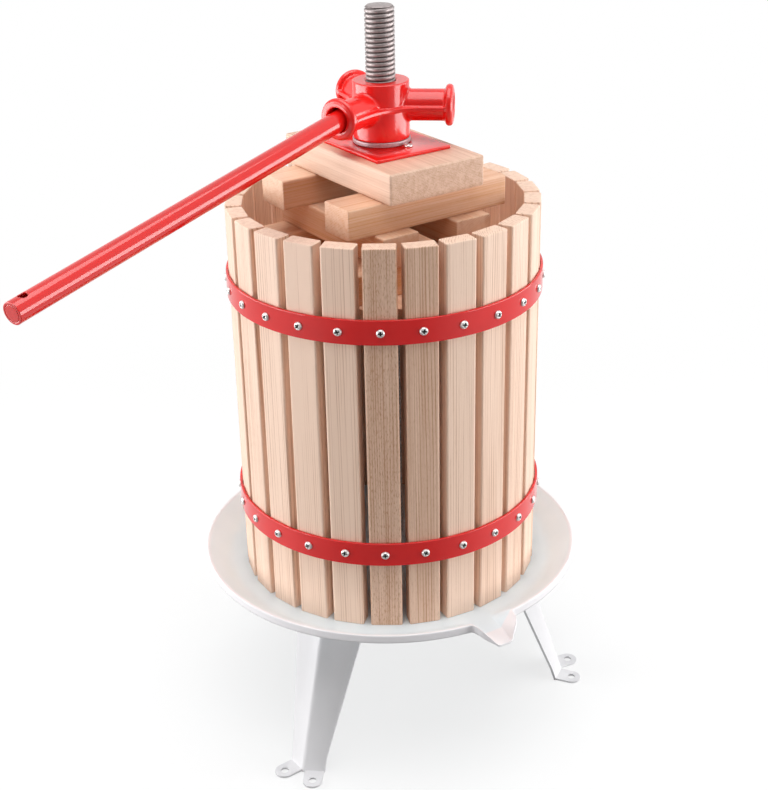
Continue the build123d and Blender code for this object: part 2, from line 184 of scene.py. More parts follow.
class Finishes(PropertyGroup):
    """Colours of the press."""

    beech_light: colour("Light beech", "Palest wood between the growth bands", (0.95, 0.70, 0.55))
    beech_dark: colour("Dark beech", "Darkest wood in the growth bands", (0.53, 0.28, 0.16))
    # Warm beech is painted shade: the wood made warmer and darker where it lies inside the stack.
    beech_warm_painted_shade: colour("Warm beech", "Darkest wood of the loose beams and the press boards", (0.69, 0.345, 0.165))
    # The head and plate red is a lighter copy of the bar's red, painted light; the hoops' red is a darker copy, painted
    # shade.
    red: colour("Red paint", "Gloss paint of the head and the plate", (0.92, 0.015, 0.012))
    bar_red: colour("Bar red", "Gloss paint of the turning bar", (0.79, 0.012, 0.010))
    hoop_red_painted_shade: colour("Hoop red", "Gloss paint of the hoops", (0.75, 0.009, 0.009))
    white: colour("White enamel", "Enamel of the legs", (0.82, 0.81, 0.825))
    # The tray's whites are painted light: cool inside to cancel the wood's warm light, and brighter than the legs.
    cool_white_painted_light: colour("Cool white enamel", "Enamel inside the tray", (0.855, 0.945, 0.99))
    lip_white_painted_light: colour("Lip white", "Enamel on the tray's lip", (0.945, 0.925, 0.945))
    steel: colour("Rolled steel", "Crests of the press screw", (0.40, 0.345, 0.34))
    steel_dark: colour("Dark steel", "Roots of the press screw", (0.16, 0.13, 0.125))
    zinc: colour("Zinc", "Plated screws, bolts and nuts", (0.74, 0.73, 0.72))
    # The washer's pink tint is a painted reflection of the red plate.
    washer: colour("Washer steel", "Turned thrust washer", (0.58, 0.50, 0.52))


class StudioSettings(PropertyGroup):
    """Camera and light of the studio."""

    camera_place: FloatVectorProperty(
        name="Camera place", description="Where the camera stands", default=(-0.6357, -1.0793, 0.9104),
        size=3, subtype="TRANSLATION", unit="LENGTH",
    )
    heading: angle("Heading", "Azimuth that the camera looks along", 59.63)
    pitch: angle("Pitch", "How far the camera looks down", 25.408)
    roll: angle("Roll", "How far the camera leans", -1.221)
    lens: FloatProperty(name="Lens", description="Focal length for a 36 mm long side", default=67.80, unit="CAMERA")
    left_light: power("Left light", "Power of the lamp on the left", 34.5)
    right_light: power("Right light", "Power of the lamp on the right", 35.0)
    top_light: power("Top light", "Power of the lamp overhead", 100.0)
    room_light: FloatProperty(
        name="Room light", description="Strength of the light from all round", default=0.12, min=0.0)
    floor_lift: FloatProperty(
        name="Floor lift", description="White added to the floor where it is seen", default=0.67, min=0.0)
    floor: colour("Floor", "Plain pale floor, as it lights the press", (0.32, 0.32, 0.32))


GROUPS = (BasketSizes, TraySizes, DriveSizes, HeadSizes, Finishes, StudioSettings)


def settings(group):
    """The scene's values of one property group."""
    return getattr(bpy.context.scene, "fruit_press_" + group.__name__.lower())


def outward(azimuth):
    """Level unit vector away from the screw: (cos a, sin a, 0)."""
    return np.array((cos(azimuth), sin(azimuth), 0.0))


def stack_axes():
    """Level axes of the loose stack: along its lowest beams, and across them."""
    azimuth = settings(DriveSizes).stack_azimuth
    return outward(azimuth), outward(azimuth + pi / 2)


def smooth_step(low, high, value):
    """Rise from 0 at low to 1 at high with level ends: 3t^2 - 2t^3."""
    t = np.clip((value - low) / (high - low), 0, 1)
    return t * t * (3 - 2 * t)


def grid_quads(rows, columns, wrap_rows=False, wrap_columns=True):
    """Quads of a grid of points stored row by row, joined end to end where it wraps."""
    row = np.arange(rows if wrap_rows else rows - 1)[:, None]
    column = np.arange(columns if wrap_columns else columns - 1)[None, :]
    next_row, next_column = (row + 1) % rows, (column + 1) % columns
    corners = (row * columns + column, row * columns + next_column,
               next_row * columns + next_column, next_row * columns + column)
    return np.stack(np.broadcast_arrays(*corners), -1).reshape(-1, 4)


def end_caps(rows, columns):
    """The two many-sided faces that close the first and the last row of a wrapped grid."""
    first = np.arange(columns)[::-1]
    return [first, (rows - 1) * columns + np.arange(columns)]


def put_object(name, data):
    """New object of a mesh, a lamp or a camera, linked to the scene."""
    made = bpy.data.objects.new(name, data)
    bpy.context.scene.collection.objects.link(made)
    return made


def put_mesh(name, points, quads, caps=(), welded=False, normals=None):
    """Mesh object of quads and caps, smooth or with given normals, its faces turned to enclose a positive volume."""
    points = np.ascontiguousarray(points.reshape(-1, 3))
    loops = np.concatenate([quads.ravel(), *caps]).astype(np.int32)
    sizes = np.concatenate([np.full(len(quads), 4), [len(cap) for cap in caps]]).astype(np.int32)
    starts = np.concatenate([[0], np.cumsum(sizes)[:-1]]).astype(np.int32)
    mesh = bpy.data.meshes.new(name)
    mesh.vertices.add(len(points))
    mesh.vertices.foreach_set("co", points.ravel())
    mesh.loops.add(len(loops))
    mesh.loops.foreach_set("vertex_index", loops)
    mesh.polygons.add(len(starts))
    mesh.polygons.foreach_set("loop_start", starts)
    mesh.update(calc_edges=True)
    if welded:
        weld(mesh)
    face_outwards(mesh)
    mesh.shade_smooth()
    if normals is not None:
        mesh.normals_split_custom_set_from_vertices(normals)
    return put_object(name, mesh)


def put_grid(name, grid, ring=False):
    """Mesh object of a grid whose rows are closed loops, its last row joined to its first in a ring, or both capped."""
    rows, columns = grid.shape[:2]
    return put_mesh(name, grid, grid_quads(rows, columns, wrap_rows=ring), () if ring else end_caps(rows, columns))


def weld(mesh):
    """Merge the points that lie on each other, and drop the faces that this leaves with no area."""
    work = bmesh.new()
    work.from_mesh(mesh)
    bmesh.ops.remove_doubles(work, verts=work.verts, dist=MERGE)
    bmesh.ops.dissolve_degenerate(work, edges=work.edges, dist=MERGE)
    work.to_mesh(mesh)
    work.free()


def face_outwards(mesh):
    """Flip the faces where the sum of a . (b x c) over the triangles, six times the volume, is negative."""
    mesh.calc_loop_triangles()
    corners = np.empty(3 * len(mesh.loop_triangles), np.int32)
    mesh.loop_triangles.foreach_get("vertices", corners)
    points = np.empty(3 * len(mesh.vertices))
    mesh.vertices.foreach_get("co", points)
    points = points.reshape(-1, 3)
    a, b, c = points[corners.reshape(-1, 3).T] - points.mean(0)
    if np.einsum("ij,ij->", a, np.cross(b, c)) < 0:
        mesh.flip_normals()


def dress(piece, body, finish, node):
    """Give a piece its finish, let it ride on its body and stand for its node."""
    piece.data.materials.clear()
    piece.data.materials.append(finish)
    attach(piece, body)
    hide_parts(node)


def coat_node(node, finish):
    """Give a node of the frame its finish and leave its shape as it is."""
    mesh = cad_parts[node].data
    mesh.materials.clear()
    mesh.materials.append(finish)


def merged_copy(node, name, bevel):
    """Copy of a node's mesh with its triangles joined, sharp only past the crease, its edges eased by a bevel."""
    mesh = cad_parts[node].data.copy()
    mesh.name = name
    weld(mesh)
    mesh.shade_smooth()
    mesh.set_sharp_from_angle(angle=CREASE)
    made = put_object(name, mesh)
    eased = made.modifiers.new("eased edges", "BEVEL")
    eased.width, eased.segments = bevel, 2
    eased.limit_method, eased.angle_limit = "ANGLE", CREASE
    eased.harden_normals = True
    return made


def rounded_loop(half_a, half_b, corner, steps=4, flat=CORNER_FLAT):
    """Rectangle with quarter-circle corners, counter-clockwise, with one more point on the flats beside each corner."""
    sweep = np.linspace(0, pi / 2, steps + 1)
    arc = corner * np.stack([np.cos(sweep), np.sin(sweep)], 1)
    arc = np.concatenate([arc[:1] - (0, flat), arc, arc[-1:] - (flat, 0)])
    centre = np.array((half_a - corner, half_b - corner))
    sides = np.array(((1, 1), (-1, 1), (-1, -1), (1, -1)))
    turned = np.stack([arc, arc[:, ::-1] * (-1, 1), -arc, arc[:, ::-1] * (1, -1)])
    return (turned + (sides * centre)[:, None]).reshape(-1, 2)


def rounded_ends(span, edge, steps=4, flat=CORNER_FLAT):
    """Insets and levels of a quarter-round end at 0 and at span: inset e(1 - sin w) at level e(1 - cos w)."""
    w = np.linspace(0, pi / 2, steps + 1)
    inset, level = edge * (1 - np.sin(w)), edge * (1 - np.cos(w))
    insets = np.concatenate([inset, [0, 0], inset[::-1]])
    levels = np.concatenate([level, [edge + flat, span - edge - flat], span - level[::-1]])
    return insets, levels


def raised(loops, levels):
    """Flat loops of points, each lifted to its own level."""
    loops = np.stack(loops)
    heights = np.broadcast_to(np.reshape(levels, (-1, 1, 1)), loops.shape[:2] + (1,))
    return np.concatenate([loops, heights], -1)


def board_grid(half_a, half_b, span, edge):
    """Planed board: a rounded rectangle carried along z from 0 to span and drawn in at both rounded ends."""
    end_edge, least_corner = 0.55 * edge, 0.05 * edge
    insets, levels = rounded_ends(span, end_edge)
    loops = [rounded_loop(half_a - inset, half_b - inset, max(edge - inset, least_corner)) for inset in insets]
    return raised(loops, levels)


def middle_of(node):
    """Middle of a node's box."""
    low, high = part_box(node)
    return (np.array(low) + np.array(high)) / 2


def placed(local, origin, a, b, c):
    """Points given along three axes from an origin, in the frame of the press."""
    return np.asarray(origin) + local @ np.stack([a, b, c])


def mark_grain(piece, local, seed, tone, flecks, lines):
    """Store on a wooden piece its grain's place, z along the fibres, its tone and how strong flecks and lines show."""
    rng = np.random.default_rng(seed)
    place = local.reshape(-1, 3) + rng.uniform(0, GRAIN_REACH, 3)
    grain = piece.data.attributes.new("grain", "FLOAT_VECTOR", "POINT")
    grain.data.foreach_set("vector", np.ascontiguousarray(place, np.float32).ravel())
    for name, value in (("tone", tone), ("flecks", flecks), ("lines", lines)):
        mark = piece.data.attributes.new(name, "FLOAT", "POINT")
        mark.data.foreach_set("value", np.broadcast_to(np.float32(value), len(place)).copy())


def planed_board(name, half_a, half_b, span, edge, axes, origin, seed, tone, flecks=0.15, lines=0.4,
                 side_painted_shade=0.0, end_tone=0.0):
    """One planed board with its grain along its length, its sides across a darkened by the painted shade given, and its
    tone changed on its ends.
    """
    local = board_grid(half_a, half_b, span, edge)
    piece = put_grid(name, placed(local, origin, *axes))
    sides = np.abs(local[..., 0]).ravel() > half_a - MERGE
    ends = np.abs(local[..., 2] - span / 2).ravel() > span / 2 - MERGE
    mark_grain(piece, local, seed, tone + side_painted_shade * sides + end_tone * ends, flecks, lines)
    return piece


def bored_slab(half_a, half_b, corner, height, edge, bore):
    """Slab with a round hole: rounded loops over its rounded edges, joined to a circle at the top and the bottom.

    Each point of the circle lies at the same bearing as its point of the loop. A loop just inside each rounded edge
    keeps the edge's shading off the face, and the hole's top edge has a narrow chamfer.
    """
    flat, least_corner, chamfer, within = 0.15 * (height - 2 * edge), 0.1 * corner, 0.02 * bore, 0.98
    insets, levels = rounded_ends(height, edge, steps=3, flat=flat)
    loops = [rounded_loop(half_a - inset, half_b - inset, max(corner - inset, least_corner)) for inset in insets]
    loops = [parted_flats(loop, parts=11) for loop in loops]
    bearing = np.arctan2(loops[0][:, 1], loops[0][:, 0])
    rim = np.stack([np.cos(bearing), np.sin(bearing)], 1)
    below = raised([bore * rim, within * loops[0]], [0.0, 0.0])
    above = raised([within * loops[-1], (bore + chamfer) * rim, bore * rim], [height, height, height - chamfer])
    return np.concatenate([below, raised(loops, levels), above])


def parted_flats(loop, parts):
    """A rounded loop with the long flats between its corners parted into equal lengths."""
    corners = loop.reshape(4, -1, 2)
    ends, starts = corners[:, -1, None], np.roll(corners, -1, 0)[:, 0, None]
    share = (np.arange(1, parts + 1) / (parts + 1))[None, :, None]
    return np.concatenate([corners, ends + (starts - ends) * share], 1).reshape(-1, 2)


def turned_grid(profile, columns):
    """Profile of (radius, height) points turned about z, one row for each point of the profile."""
    sweep = np.arange(columns) * TURN / columns
    radius, height = profile[:, 0, None], np.broadcast_to(profile[:, 1, None], (len(profile), columns))
    return np.stack([radius * np.cos(sweep), radius * np.sin(sweep), height], -1)


def wire(tree, kind, inputs=None, **options):
    """Add one shader node, set its options, and set or link its inputs by name or place."""
    made = tree.nodes.new(kind)
    for key, value in options.items():
        setattr(made, key, value)
    for key, value in (inputs or {}).items():
        if isinstance(value, bpy.types.NodeSocket):
            tree.links.new(value, made.inputs[key])
        else:
            made.inputs[key].default_value = value
    return made


def reckon(tree, operation, *values):
    """Result of one step of arithmetic."""
    return wire(tree, "ShaderNodeMath", dict(enumerate(values)), operation=operation).outputs[0]


def measured(tree, operation, *vectors):
    """Number that a step of vector arithmetic gives, such as a length."""
    return wire(tree, "ShaderNodeVectorMath", dict(enumerate(vectors)), operation=operation).outputs["Value"]


def noise(tree, place, stretch, detail=2.0, rough=0.5):
    """Noise from 0 to 1 whose lumps are 1 / stretch long on each axis."""
    spread = wire(tree, "ShaderNodeMapping", {"Vector": place, "Scale": stretch}).outputs[0]
    inputs = {"Vector": spread, "Scale": 1.0, "Detail": detail, "Roughness": rough}
    return wire(tree, "ShaderNodeTexNoise", inputs).outputs[0]


def remap(tree, value, low, high, to_low=0.0, to_high=1.0):
    """A value carried from one range to another and kept inside it."""
    made = wire(tree, "ShaderNodeMapRange", {"Value": value, 1: low, 2: high, 3: to_low, 4: to_high})
    return made.outputs[0]


def sums(tree, first, *terms):
    """First value plus each term's value times its weight."""
    total = first
    for value, weight in terms:
        total = reckon(tree, "MULTIPLY_ADD", value, weight, total)
    return total


def blended(tree, share, first, second):
    """First colour turning into the second as the share goes from 0 to 1."""
    return wire(tree, "ShaderNodeMix", {0: share, 6: first, 7: second}, data_type="RGBA").outputs[2]


SURFACE = {"Color": "Color", "Roughness": "Float", "Height": "Float"}


def start_group(name, **inputs):
    """New node group with inputs of the given kinds and a surface's outputs, and its inputs as seen from inside."""
    tree = bpy.data.node_groups.new(name, "ShaderNodeTree")
    for way, sockets in (("INPUT", inputs), ("OUTPUT", SURFACE)):
        for label, kind in sockets.items():
            tree.interface.new_socket(label, in_out=way, socket_type="NodeSocket" + kind)
    return tree, tree.nodes.new("NodeGroupInput").outputs


def end_group(tree, *values):
    """Put a surface's colour, roughness and height out of its group."""
    ends = tree.nodes.new("NodeGroupOutput").inputs
    for label, value in zip(SURFACE, values):
        tree.links.new(value, ends[label])
    return tree


def beech_grain(name):
    """Beech: thin dark growth lines that come and go, long streaks, fine fibres and short dark ray flecks.

    The lines are sin(1500x + 2650y + 40 drift), some 2.4 mm apart on a face that y crosses. All is drawn out along z,
    the flecks the least, and the fleck and line shares set how strong they show.
    """
    tree, given = start_group(
        name, Place="Vector", Tone="Float", Flecks="Float", Lines="Float", Light="Color", Dark="Color")
    place = given["Place"]
    streak = noise(tree, place, (210, 210, 3.5), 4.0, 0.6)
    drift = noise(tree, place, (30, 30, 1.4), 1.0)
    fibre = noise(tree, place, (1500, 1500, 28), 3.0, 0.6)
    across = measured(tree, "DOT_PRODUCT", place, (1500.0, 2650.0, 0.0))
    rings = reckon(tree, "SINE", sums(tree, across, (drift, 40.0)))
    fade = remap(tree, noise(tree, place, (260, 260, 5.0)), 0.38, 0.62)
    lines = reckon(tree, "MULTIPLY", remap(tree, rings, 0.1, 1.0), fade)
    lines = reckon(tree, "MULTIPLY", lines, given["Lines"])
    fleck = remap(tree, noise(tree, place, (1100, 1100, 230), 2.0, 0.6), 0.52, 0.66)
    fleck = reckon(tree, "MULTIPLY", fleck, given["Flecks"])
    depth = sums(tree, given["Tone"], (streak, 0.80), (drift, 0.10), (fibre, 0.40), (lines, 0.50), (fleck, 0.36))
    return end_group(tree, blended(tree, remap(tree, depth, 0.42, 1.30), given["Light"], given["Dark"]),
                     remap(tree, fibre, 0.3, 0.7, 0.44, 0.58), sums(tree, fibre, (lines, -0.6), (fleck, -0.8)))


def sprayed_film(name):
    """Sprayed film: paint that deepens in broad soft patches, with a fine peel in its gloss."""
    tree, given = start_group(name, Place="Vector", Paint="Color", Deep="Color", Peel="Float", Rough="Float")
    place = given["Place"]
    broad = remap(tree, noise(tree, place, (24, 24, 24), 3.0), 0.38, 0.66)
    dull = remap(tree, noise(tree, place, (75, 75, 75)), 0.3, 0.7, -0.04, 0.05)
    peel = wire(tree, "ShaderNodeTexNoise", {"Vector": place, "Scale": given["Peel"], "Detail": 2.0}).outputs[0]
    return end_group(tree, blended(tree, broad, given["Paint"], given["Deep"]),
                     reckon(tree, "ADD", dull, given["Rough"]), peel)


def bare_steel(name):
    """Bare steel: fine mottle and small scuffs that dull its shine."""
    tree, given = start_group(name, Place="Vector", Bright="Color", Dull="Color")
    place = given["Place"]
    mottle = noise(tree, place, (420, 420, 420), 4.0, 0.65)
    scuff = noise(tree, place, (1700, 1700, 260))
    return end_group(tree, blended(tree, remap(tree, mottle, 0.36, 0.68), given["Bright"], given["Dull"]),
                     remap(tree, sums(tree, mottle, (scuff, 0.5)), 0.5, 1.0, 0.34, 0.54),
                     sums(tree, scuff, (mottle, 0.6)))


SURFACE_MAKERS = {"beech grain": beech_grain, "sprayed film": sprayed_film, "bare steel": bare_steel}


def surface_for(name):
    """The named surface's node group, built when it is first asked for."""
    return bpy.data.node_groups.get(name) or SURFACE_MAKERS[name](name)


def finish_for(name):
    """The named finish, made when it is first asked for."""
    return bpy.data.materials.get(name) or FINISH_MAKERS[name](name)


def start_finish(name, gloss=0.5, metal=0.0):
    """New material with its gloss and its metal set, its node tree and its shader."""
    made = bpy.data.materials.new(name)
    made.use_nodes = True
    shader = made.node_tree.nodes["Principled BSDF"]
    shader.inputs["Specular IOR Level"].default_value = gloss
    shader.inputs["Metallic"].default_value = metal
    return made, made.node_tree, shader


def fit_surface(tree, shader, surface, inputs, strength, depth):
    """Place a surface group in a material and join its colour, roughness and height to the shader."""
    given = wire(tree, "ShaderNodeGroup", inputs, node_tree=surface_for(surface)).outputs
    bump = wire(tree, "ShaderNodeBump", {"Strength": strength, "Distance": depth, "Height": given["Height"]})
    tree.links.new(given["Color"], shader.inputs["Base Color"])
    tree.links.new(given["Roughness"], shader.inputs["Roughness"])
    tree.links.new(bump.outputs[0], shader.inputs["Normal"])


def opaque(rgb, share=1.0):
    """Colour with full cover, darkened to a share of itself."""
    return (*(share * part for part in rgb), 1.0)


def object_place(tree):
    """Object coordinates, which are the frame's own in metres."""
    return wire(tree, "ShaderNodeTexCoord").outputs["Object"]


def stored(tree, name, output="Fac"):
    """A value stored on the points of a piece."""
    return wire(tree, "ShaderNodeAttribute", attribute_name=name).outputs[output]


def from_axis(tree, place):
    """How far a place is from the axis of the press screw."""
    level = wire(tree, "ShaderNodeVectorMath", {0: place, 1: (1.0, 1.0, 0.0)}, operation="MULTIPLY").outputs[0]
    return measured(tree, "LENGTH", level)


def fit_beech(tree, shader, dark, **grain):
    """Fit beech with its grain's place and shares, from its light colour to a dark one."""
    colours = {"Light": opaque(settings(Finishes).beech_light), "Dark": opaque(dark)}
    fit_surface(tree, shader, "beech grain", {**grain, **colours}, 0.35, 0.0004)


def planed_beech(name):
    """Beech whose grain follows each board's own stored place, warmer in the loose beams as painted shade inside the
    stack.
    """
    made, tree, shader = start_finish(name, gloss=0.48)
    colours = settings(Finishes)
    fit_beech(tree, shader, colours.beech_warm_painted_shade if name == "painted-shade beech" else colours.beech_dark,
              Place=stored(tree, "grain", "Vector"), Tone=stored(tree, "tone"), Flecks=stored(tree, "flecks"),
              Lines=stored(tree, "lines"))
    return made


def board_beech(name):
    """Beech of the half-round press boards, its grain along their split."""
    made, tree, shader = start_finish(name, gloss=0.48)
    turned = wire(tree, "ShaderNodeMapping", {"Vector": object_place(tree), "Rotation": (pi / 2, 0, 0)}).outputs[0]
    # The press boards take the warm beech of the stack's painted shade.
    fit_beech(tree, shader, settings(Finishes).beech_warm_painted_shade, Place=turned, Tone=0.15, Flecks=0.2, Lines=0.4)
    return made


def gloss_red(name):
    """Red gloss paint, a darker copy on the hoops as painted shade and a lighter one on the head and the plate as
    painted light, with a duller gloss and a deeper peel on the casting.
    """
    made, tree, shader = start_finish(name, gloss=0.55 if name == "hoop red" else 0.65)
    colours = settings(Finishes)
    # One red in lighter and darker copies: painted light on the head and the plate, painted shade on the hoops.
    paint = {"hoop red": colours.hoop_red_painted_shade, "bar red": colours.bar_red}.get(name, colours.red)
    peel, rough, strength, depth = (330.0, 0.16, 0.06, 0.0004) if name == "cast red" else (260.0, 0.12, 0.02, 0.0002)
    film = {"Place": object_place(tree), "Paint": opaque(paint), "Deep": opaque(paint, 0.92), "Peel": peel,
            "Rough": rough}
    fit_surface(tree, shader, "sprayed film", film, strength, depth)
    return made


def white_enamel(name):
    """White enamel in three copies: plain on the legs, brighter on the tray's lip as painted light, and cool and bright
    inside the tray, painted to cancel the warm light that the wood throws on it.
    """
    made, tree, shader = start_finish(name, gloss=0.3)
    colours, place = settings(Finishes), object_place(tree)
    paint, deep = opaque(colours.white), opaque(colours.white, 0.97)
    if name == "tray enamel":
        rim = settings(TraySizes).rim_radius
        inside = remap(tree, from_axis(tree, place), rim - 0.0015, rim - 0.004)
        # Inside the rim the enamel turns cool, painted to cancel the wood's warm light; the lip is painted brighter
        # than the legs.
        paint, deep = (blended(tree, inside, opaque(colours.lip_white_painted_light, share), opaque(colours.cool_white_painted_light, share))
                       for share in (1.0, 0.98))
    film = {"Place": place, "Paint": paint, "Deep": deep, "Peel": 300.0, "Rough": 0.36}
    fit_surface(tree, shader, "sprayed film", film, 0.005, 0.0002)
    return made


def rolled_thread(name):
    """Dull steel of the press screw, darker in the thread's roots and pale on its crests and its top."""
    made, tree, shader = start_finish(name, metal=0.5)
    colours, depth = settings(Finishes), settings(DriveSizes).thread_depth
    place, crest, top = object_place(tree), SCREW_HIGH.x, SCREW_HIGH.z
    height = wire(tree, "ShaderNodeSeparateXYZ", {0: place}).outputs[2]
    # Darker towards the thread's roots; the crests and the top stay pale.
    bare = reckon(tree, "MAXIMUM", remap(tree, from_axis(tree, place), crest - depth, crest - 0.15 * depth),
                  remap(tree, height, top - 0.0008, top - 0.0002))
    steel = {"Place": place,
             "Bright": blended(tree, bare, opaque(colours.steel_dark), opaque(colours.steel)),
             "Dull": blended(tree, bare, opaque(colours.steel_dark, 0.7), opaque(colours.steel, 0.72))}
    fit_surface(tree, shader, "bare steel", steel, 0.25, 0.0002)
    return made


def plated_zinc(name):
    """Bright plated steel of the small screws, bolts and nuts, with painted shade in the screws' crosses."""
    made, tree, shader = start_finish(name, metal=1.0)
    zinc, sunk = settings(Finishes).zinc, stored(tree, "sunk")
    # The crosses turn near black: painted shade in the recesses.
    bright, dull = (blended(tree, sunk, opaque(zinc, share), opaque(zinc, 0.06)) for share in (1.0, 0.8))
    steel = {"Place": object_place(tree), "Bright": bright, "Dull": dull}
    fit_surface(tree, shader, "bare steel", steel, 0.10, 0.0001)
    return made


def turned_steel(name):
    """Plain turned steel of the thrust washer, tinted pink as a painted reflection of the red plate."""
    made, tree, shader = start_finish(name, metal=0.4)
    bright = settings(Finishes).washer
    steel = {"Place": object_place(tree), "Bright": opaque(bright), "Dull": opaque(bright, 0.75)}
    fit_surface(tree, shader, "bare steel", steel, 0.20, 0.0002)
    return made


FINISH_MAKERS = {
    "planed beech": planed_beech, "painted-shade beech": planed_beech, "board beech": board_beech,
    "hoop red": gloss_red, "bar red": gloss_red, "plate red": gloss_red, "cast red": gloss_red,
    "white enamel": white_enamel, "tray enamel": white_enamel,
    "rolled thread": rolled_thread, "plated zinc": plated_zinc, "turned steel": turned_steel,
}


class PRESS_OT_slats(Operator):
    """Plane the upright slats of the basket, each with its own grain and tone"""

    bl_idname = "fruit_press.slats"
    bl_label = "Slats"

    def execute(self, context):
        sizes = settings(BasketSizes)
        chance = np.random.default_rng(seed=11)
        tones, flecks = chance.normal(-0.22, 0.06, sizes.slat_count), chance.uniform(0.0, 0.35, sizes.slat_count)
        # The front slats' darker tones are painted shade.
        tones[list(SLAT_TONES_WITH_PAINTED_SHADE)], flecks[FLECKED_SLAT] = list(SLAT_TONES_WITH_PAINTED_SHADE.values()), 1.0
        height = SLAT_HIGH.z - SLAT_LOW.z
        for place in range(sizes.slat_count):
            azimuth = sizes.slat_first + TURN * place / sizes.slat_count
            away, along = outward(azimuth), outward(azimuth + pi / 2)
            foot = (sizes.inner_radius + sizes.slat_thickness / 2) * away + SLAT_LOW.z * UP
            node = f"slat_{place + 1:02d}"
            slat = planed_board(node + "_planed", sizes.slat_thickness / 2, sizes.slat_width / 2, height,
                                sizes.slat_edge, (away, along, UP), foot, place, tones[place], flecks[place], lines=1.1,
                                end_tone=SLAT_END_TONE - tones[place])
            dress(slat, "stand", finish_for("planed beech"), node)
        return {"FINISHED"}


class PRESS_OT_hoops(Operator):
    """Roll the two flat hoops: a rounded strap section carried round the slats"""

    bl_idname = "fruit_press.hoops"
    bl_label = "Hoops"

    def execute(self, context):
        sizes = settings(BasketSizes)
        middle = sizes.hoop_radius - sizes.hoop_thickness / 2
        for node in ("lower_hoop", "upper_hoop"):
            low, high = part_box(node)
            strap = rounded_loop(sizes.hoop_thickness / 2, (high.z - low.z) / 2, sizes.hoop_edge, steps=3, flat=0.0003)
            around = turned_grid(strap + (middle, (low.z + high.z) / 2), columns=240)
            hoop = put_grid(node + "_strap", around, ring=True)
            dress(hoop, "stand", finish_for("hoop red"), node)
        return {"FINISHED"}


def pan_head(radius, height, shank_radius, shank_length, columns=40):
    """Pan head screw along z with its seat at 0, and how far each of its points is sunk in its cross.

    The crown is h sqrt(1 - (r/R)^4), sunk by a cross whose two slots fade from the middle. Below the seat the shank
    runs down and tapers to a point.
    """
    share = np.array((0.03, 0.09, 0.15, 0.21, 0.28, 0.35, 0.42, 0.49, 0.56, 0.64, 0.73, 0.82, 0.90, 0.96, 0.99, 1.0))
    slot_side, slot_end, slot_depth, seat = (0.14, 0.25), (0.50, 0.66), 0.62 * height, -0.00003
    crown = np.stack([share * radius, height * np.sqrt(1 - share ** 4)], 1)
    below = np.array(((0.97 * radius, seat), (shank_radius, seat), (shank_radius, -0.7 * shank_length),
                      (0.08 * shank_radius, -shank_length)))
    local = turned_grid(np.concatenate([crown, below]), columns)
    top = local[:len(share)]
    x, y = np.abs(top[..., 0]) / radius, np.abs(top[..., 1]) / radius
    slot = np.maximum((1 - smooth_step(*slot_side, x)) * (1 - smooth_step(*slot_end, y)),
                      (1 - smooth_step(*slot_side, y)) * (1 - smooth_step(*slot_end, x)))
    top[..., 2] -= slot_depth * slot * (1 - 0.55 * np.hypot(x, y))
    sunk = np.zeros(local.shape[:2])
    sunk[:len(share)] = slot
    return local, sunk


def set_screws(name, seats, spins):
    """Pan head screws on seats given as an origin and three axes, each spun about its own axis."""
    sizes = settings(BasketSizes)
    local, sunk = pan_head(sizes.head_radius, sizes.head_height, sizes.shank_radius, sizes.shank_length)
    rows, columns = local.shape[:2]
    c, s = np.cos(spins)[:, None, None], np.sin(spins)[:, None, None]
    spun = np.stack([c * local[..., 0] - s * local[..., 1], s * local[..., 0] + c * local[..., 1],
                     np.broadcast_to(local[..., 2], (len(spins), rows, columns))], -1)
    origins, axes = np.stack([seat[0] for seat in seats]), np.stack([np.stack(seat[1:]) for seat in seats])
    points = origins[:, None, None] + np.einsum("nrcj,njk->nrck", spun, axes)
    steps = np.arange(len(seats))[:, None, None] * rows * columns
    quads = (grid_quads(rows, columns)[None] + steps).reshape(-1, 4)
    caps = [cap + step for step in steps.ravel() for cap in end_caps(rows, columns)]
    heads = put_mesh(name, points, quads, caps)
    # This share also marks where the painted shade of each cross goes.
    mask = heads.data.attributes.new("sunk", "FLOAT", "POINT")
    mask.data.foreach_set("value", np.tile(sunk.ravel(), len(seats)).astype(np.float32))
    return heads


class PRESS_OT_screws(Operator):
    """Drive the pan head screws of the hoops and of the pressure plate, with their crosses at all angles"""

    bl_idname = "fruit_press.screws"
    bl_label = "Wood screws"

    def execute(self, context):
        sizes, drive = settings(BasketSizes), settings(DriveSizes)
        spins = np.random.default_rng(seed=5)
        azimuths = sizes.slat_first + TURN * np.arange(sizes.slat_count) / sizes.slat_count
        for node, hoop in (("lower_hoop_screws", "lower_hoop"), ("upper_hoop_screws", "upper_hoop")):
            low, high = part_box(hoop)
            seats = [(sizes.hoop_radius * outward(a) + UP * (low.z + high.z) / 2, outward(a + pi / 2), UP, outward(a))
                     for a in azimuths]
            heads = set_screws(node + "_pan", seats, spins.uniform(0, pi / 2, len(seats)))
            dress(heads, "stand", finish_for("plated zinc"), node)
        along, across = stack_axes()
        seat = drive.plate_screw_across * along - drive.plate_screw_along * across
        seats = [(side * seat + UP * PLATE_HIGH.z, along, across, UP) for side in (1, -1)]
        heads = set_screws("plate_screws_pan", seats, np.array((0.4, 1.0)))
        dress(heads, "press_stack", finish_for("plated zinc"), "plate_screws")
        return {"FINISHED"}


def spline_rows(control, steps):
    """Quadratic spline through the middles of a control line's edges, from its first point to its last.

    Each inner control point b between edge middles m and n gives (1-t)^2 m + 2t(1-t) b + t^2 n.
    """
    middles = (control[:-1] + control[1:]) / 2
    middles[0], middles[-1] = control[0], control[-1]
    t = np.linspace(0, 1, steps, endpoint=False)[:, None, None]
    arcs = [(1 - t) ** 2 * m + 2 * t * (1 - t) * b + t ** 2 * n
            for m, b, n in zip(middles[:-1], control[1:-1], middles[1:])]
    return np.concatenate([*arcs, control[-1:]])


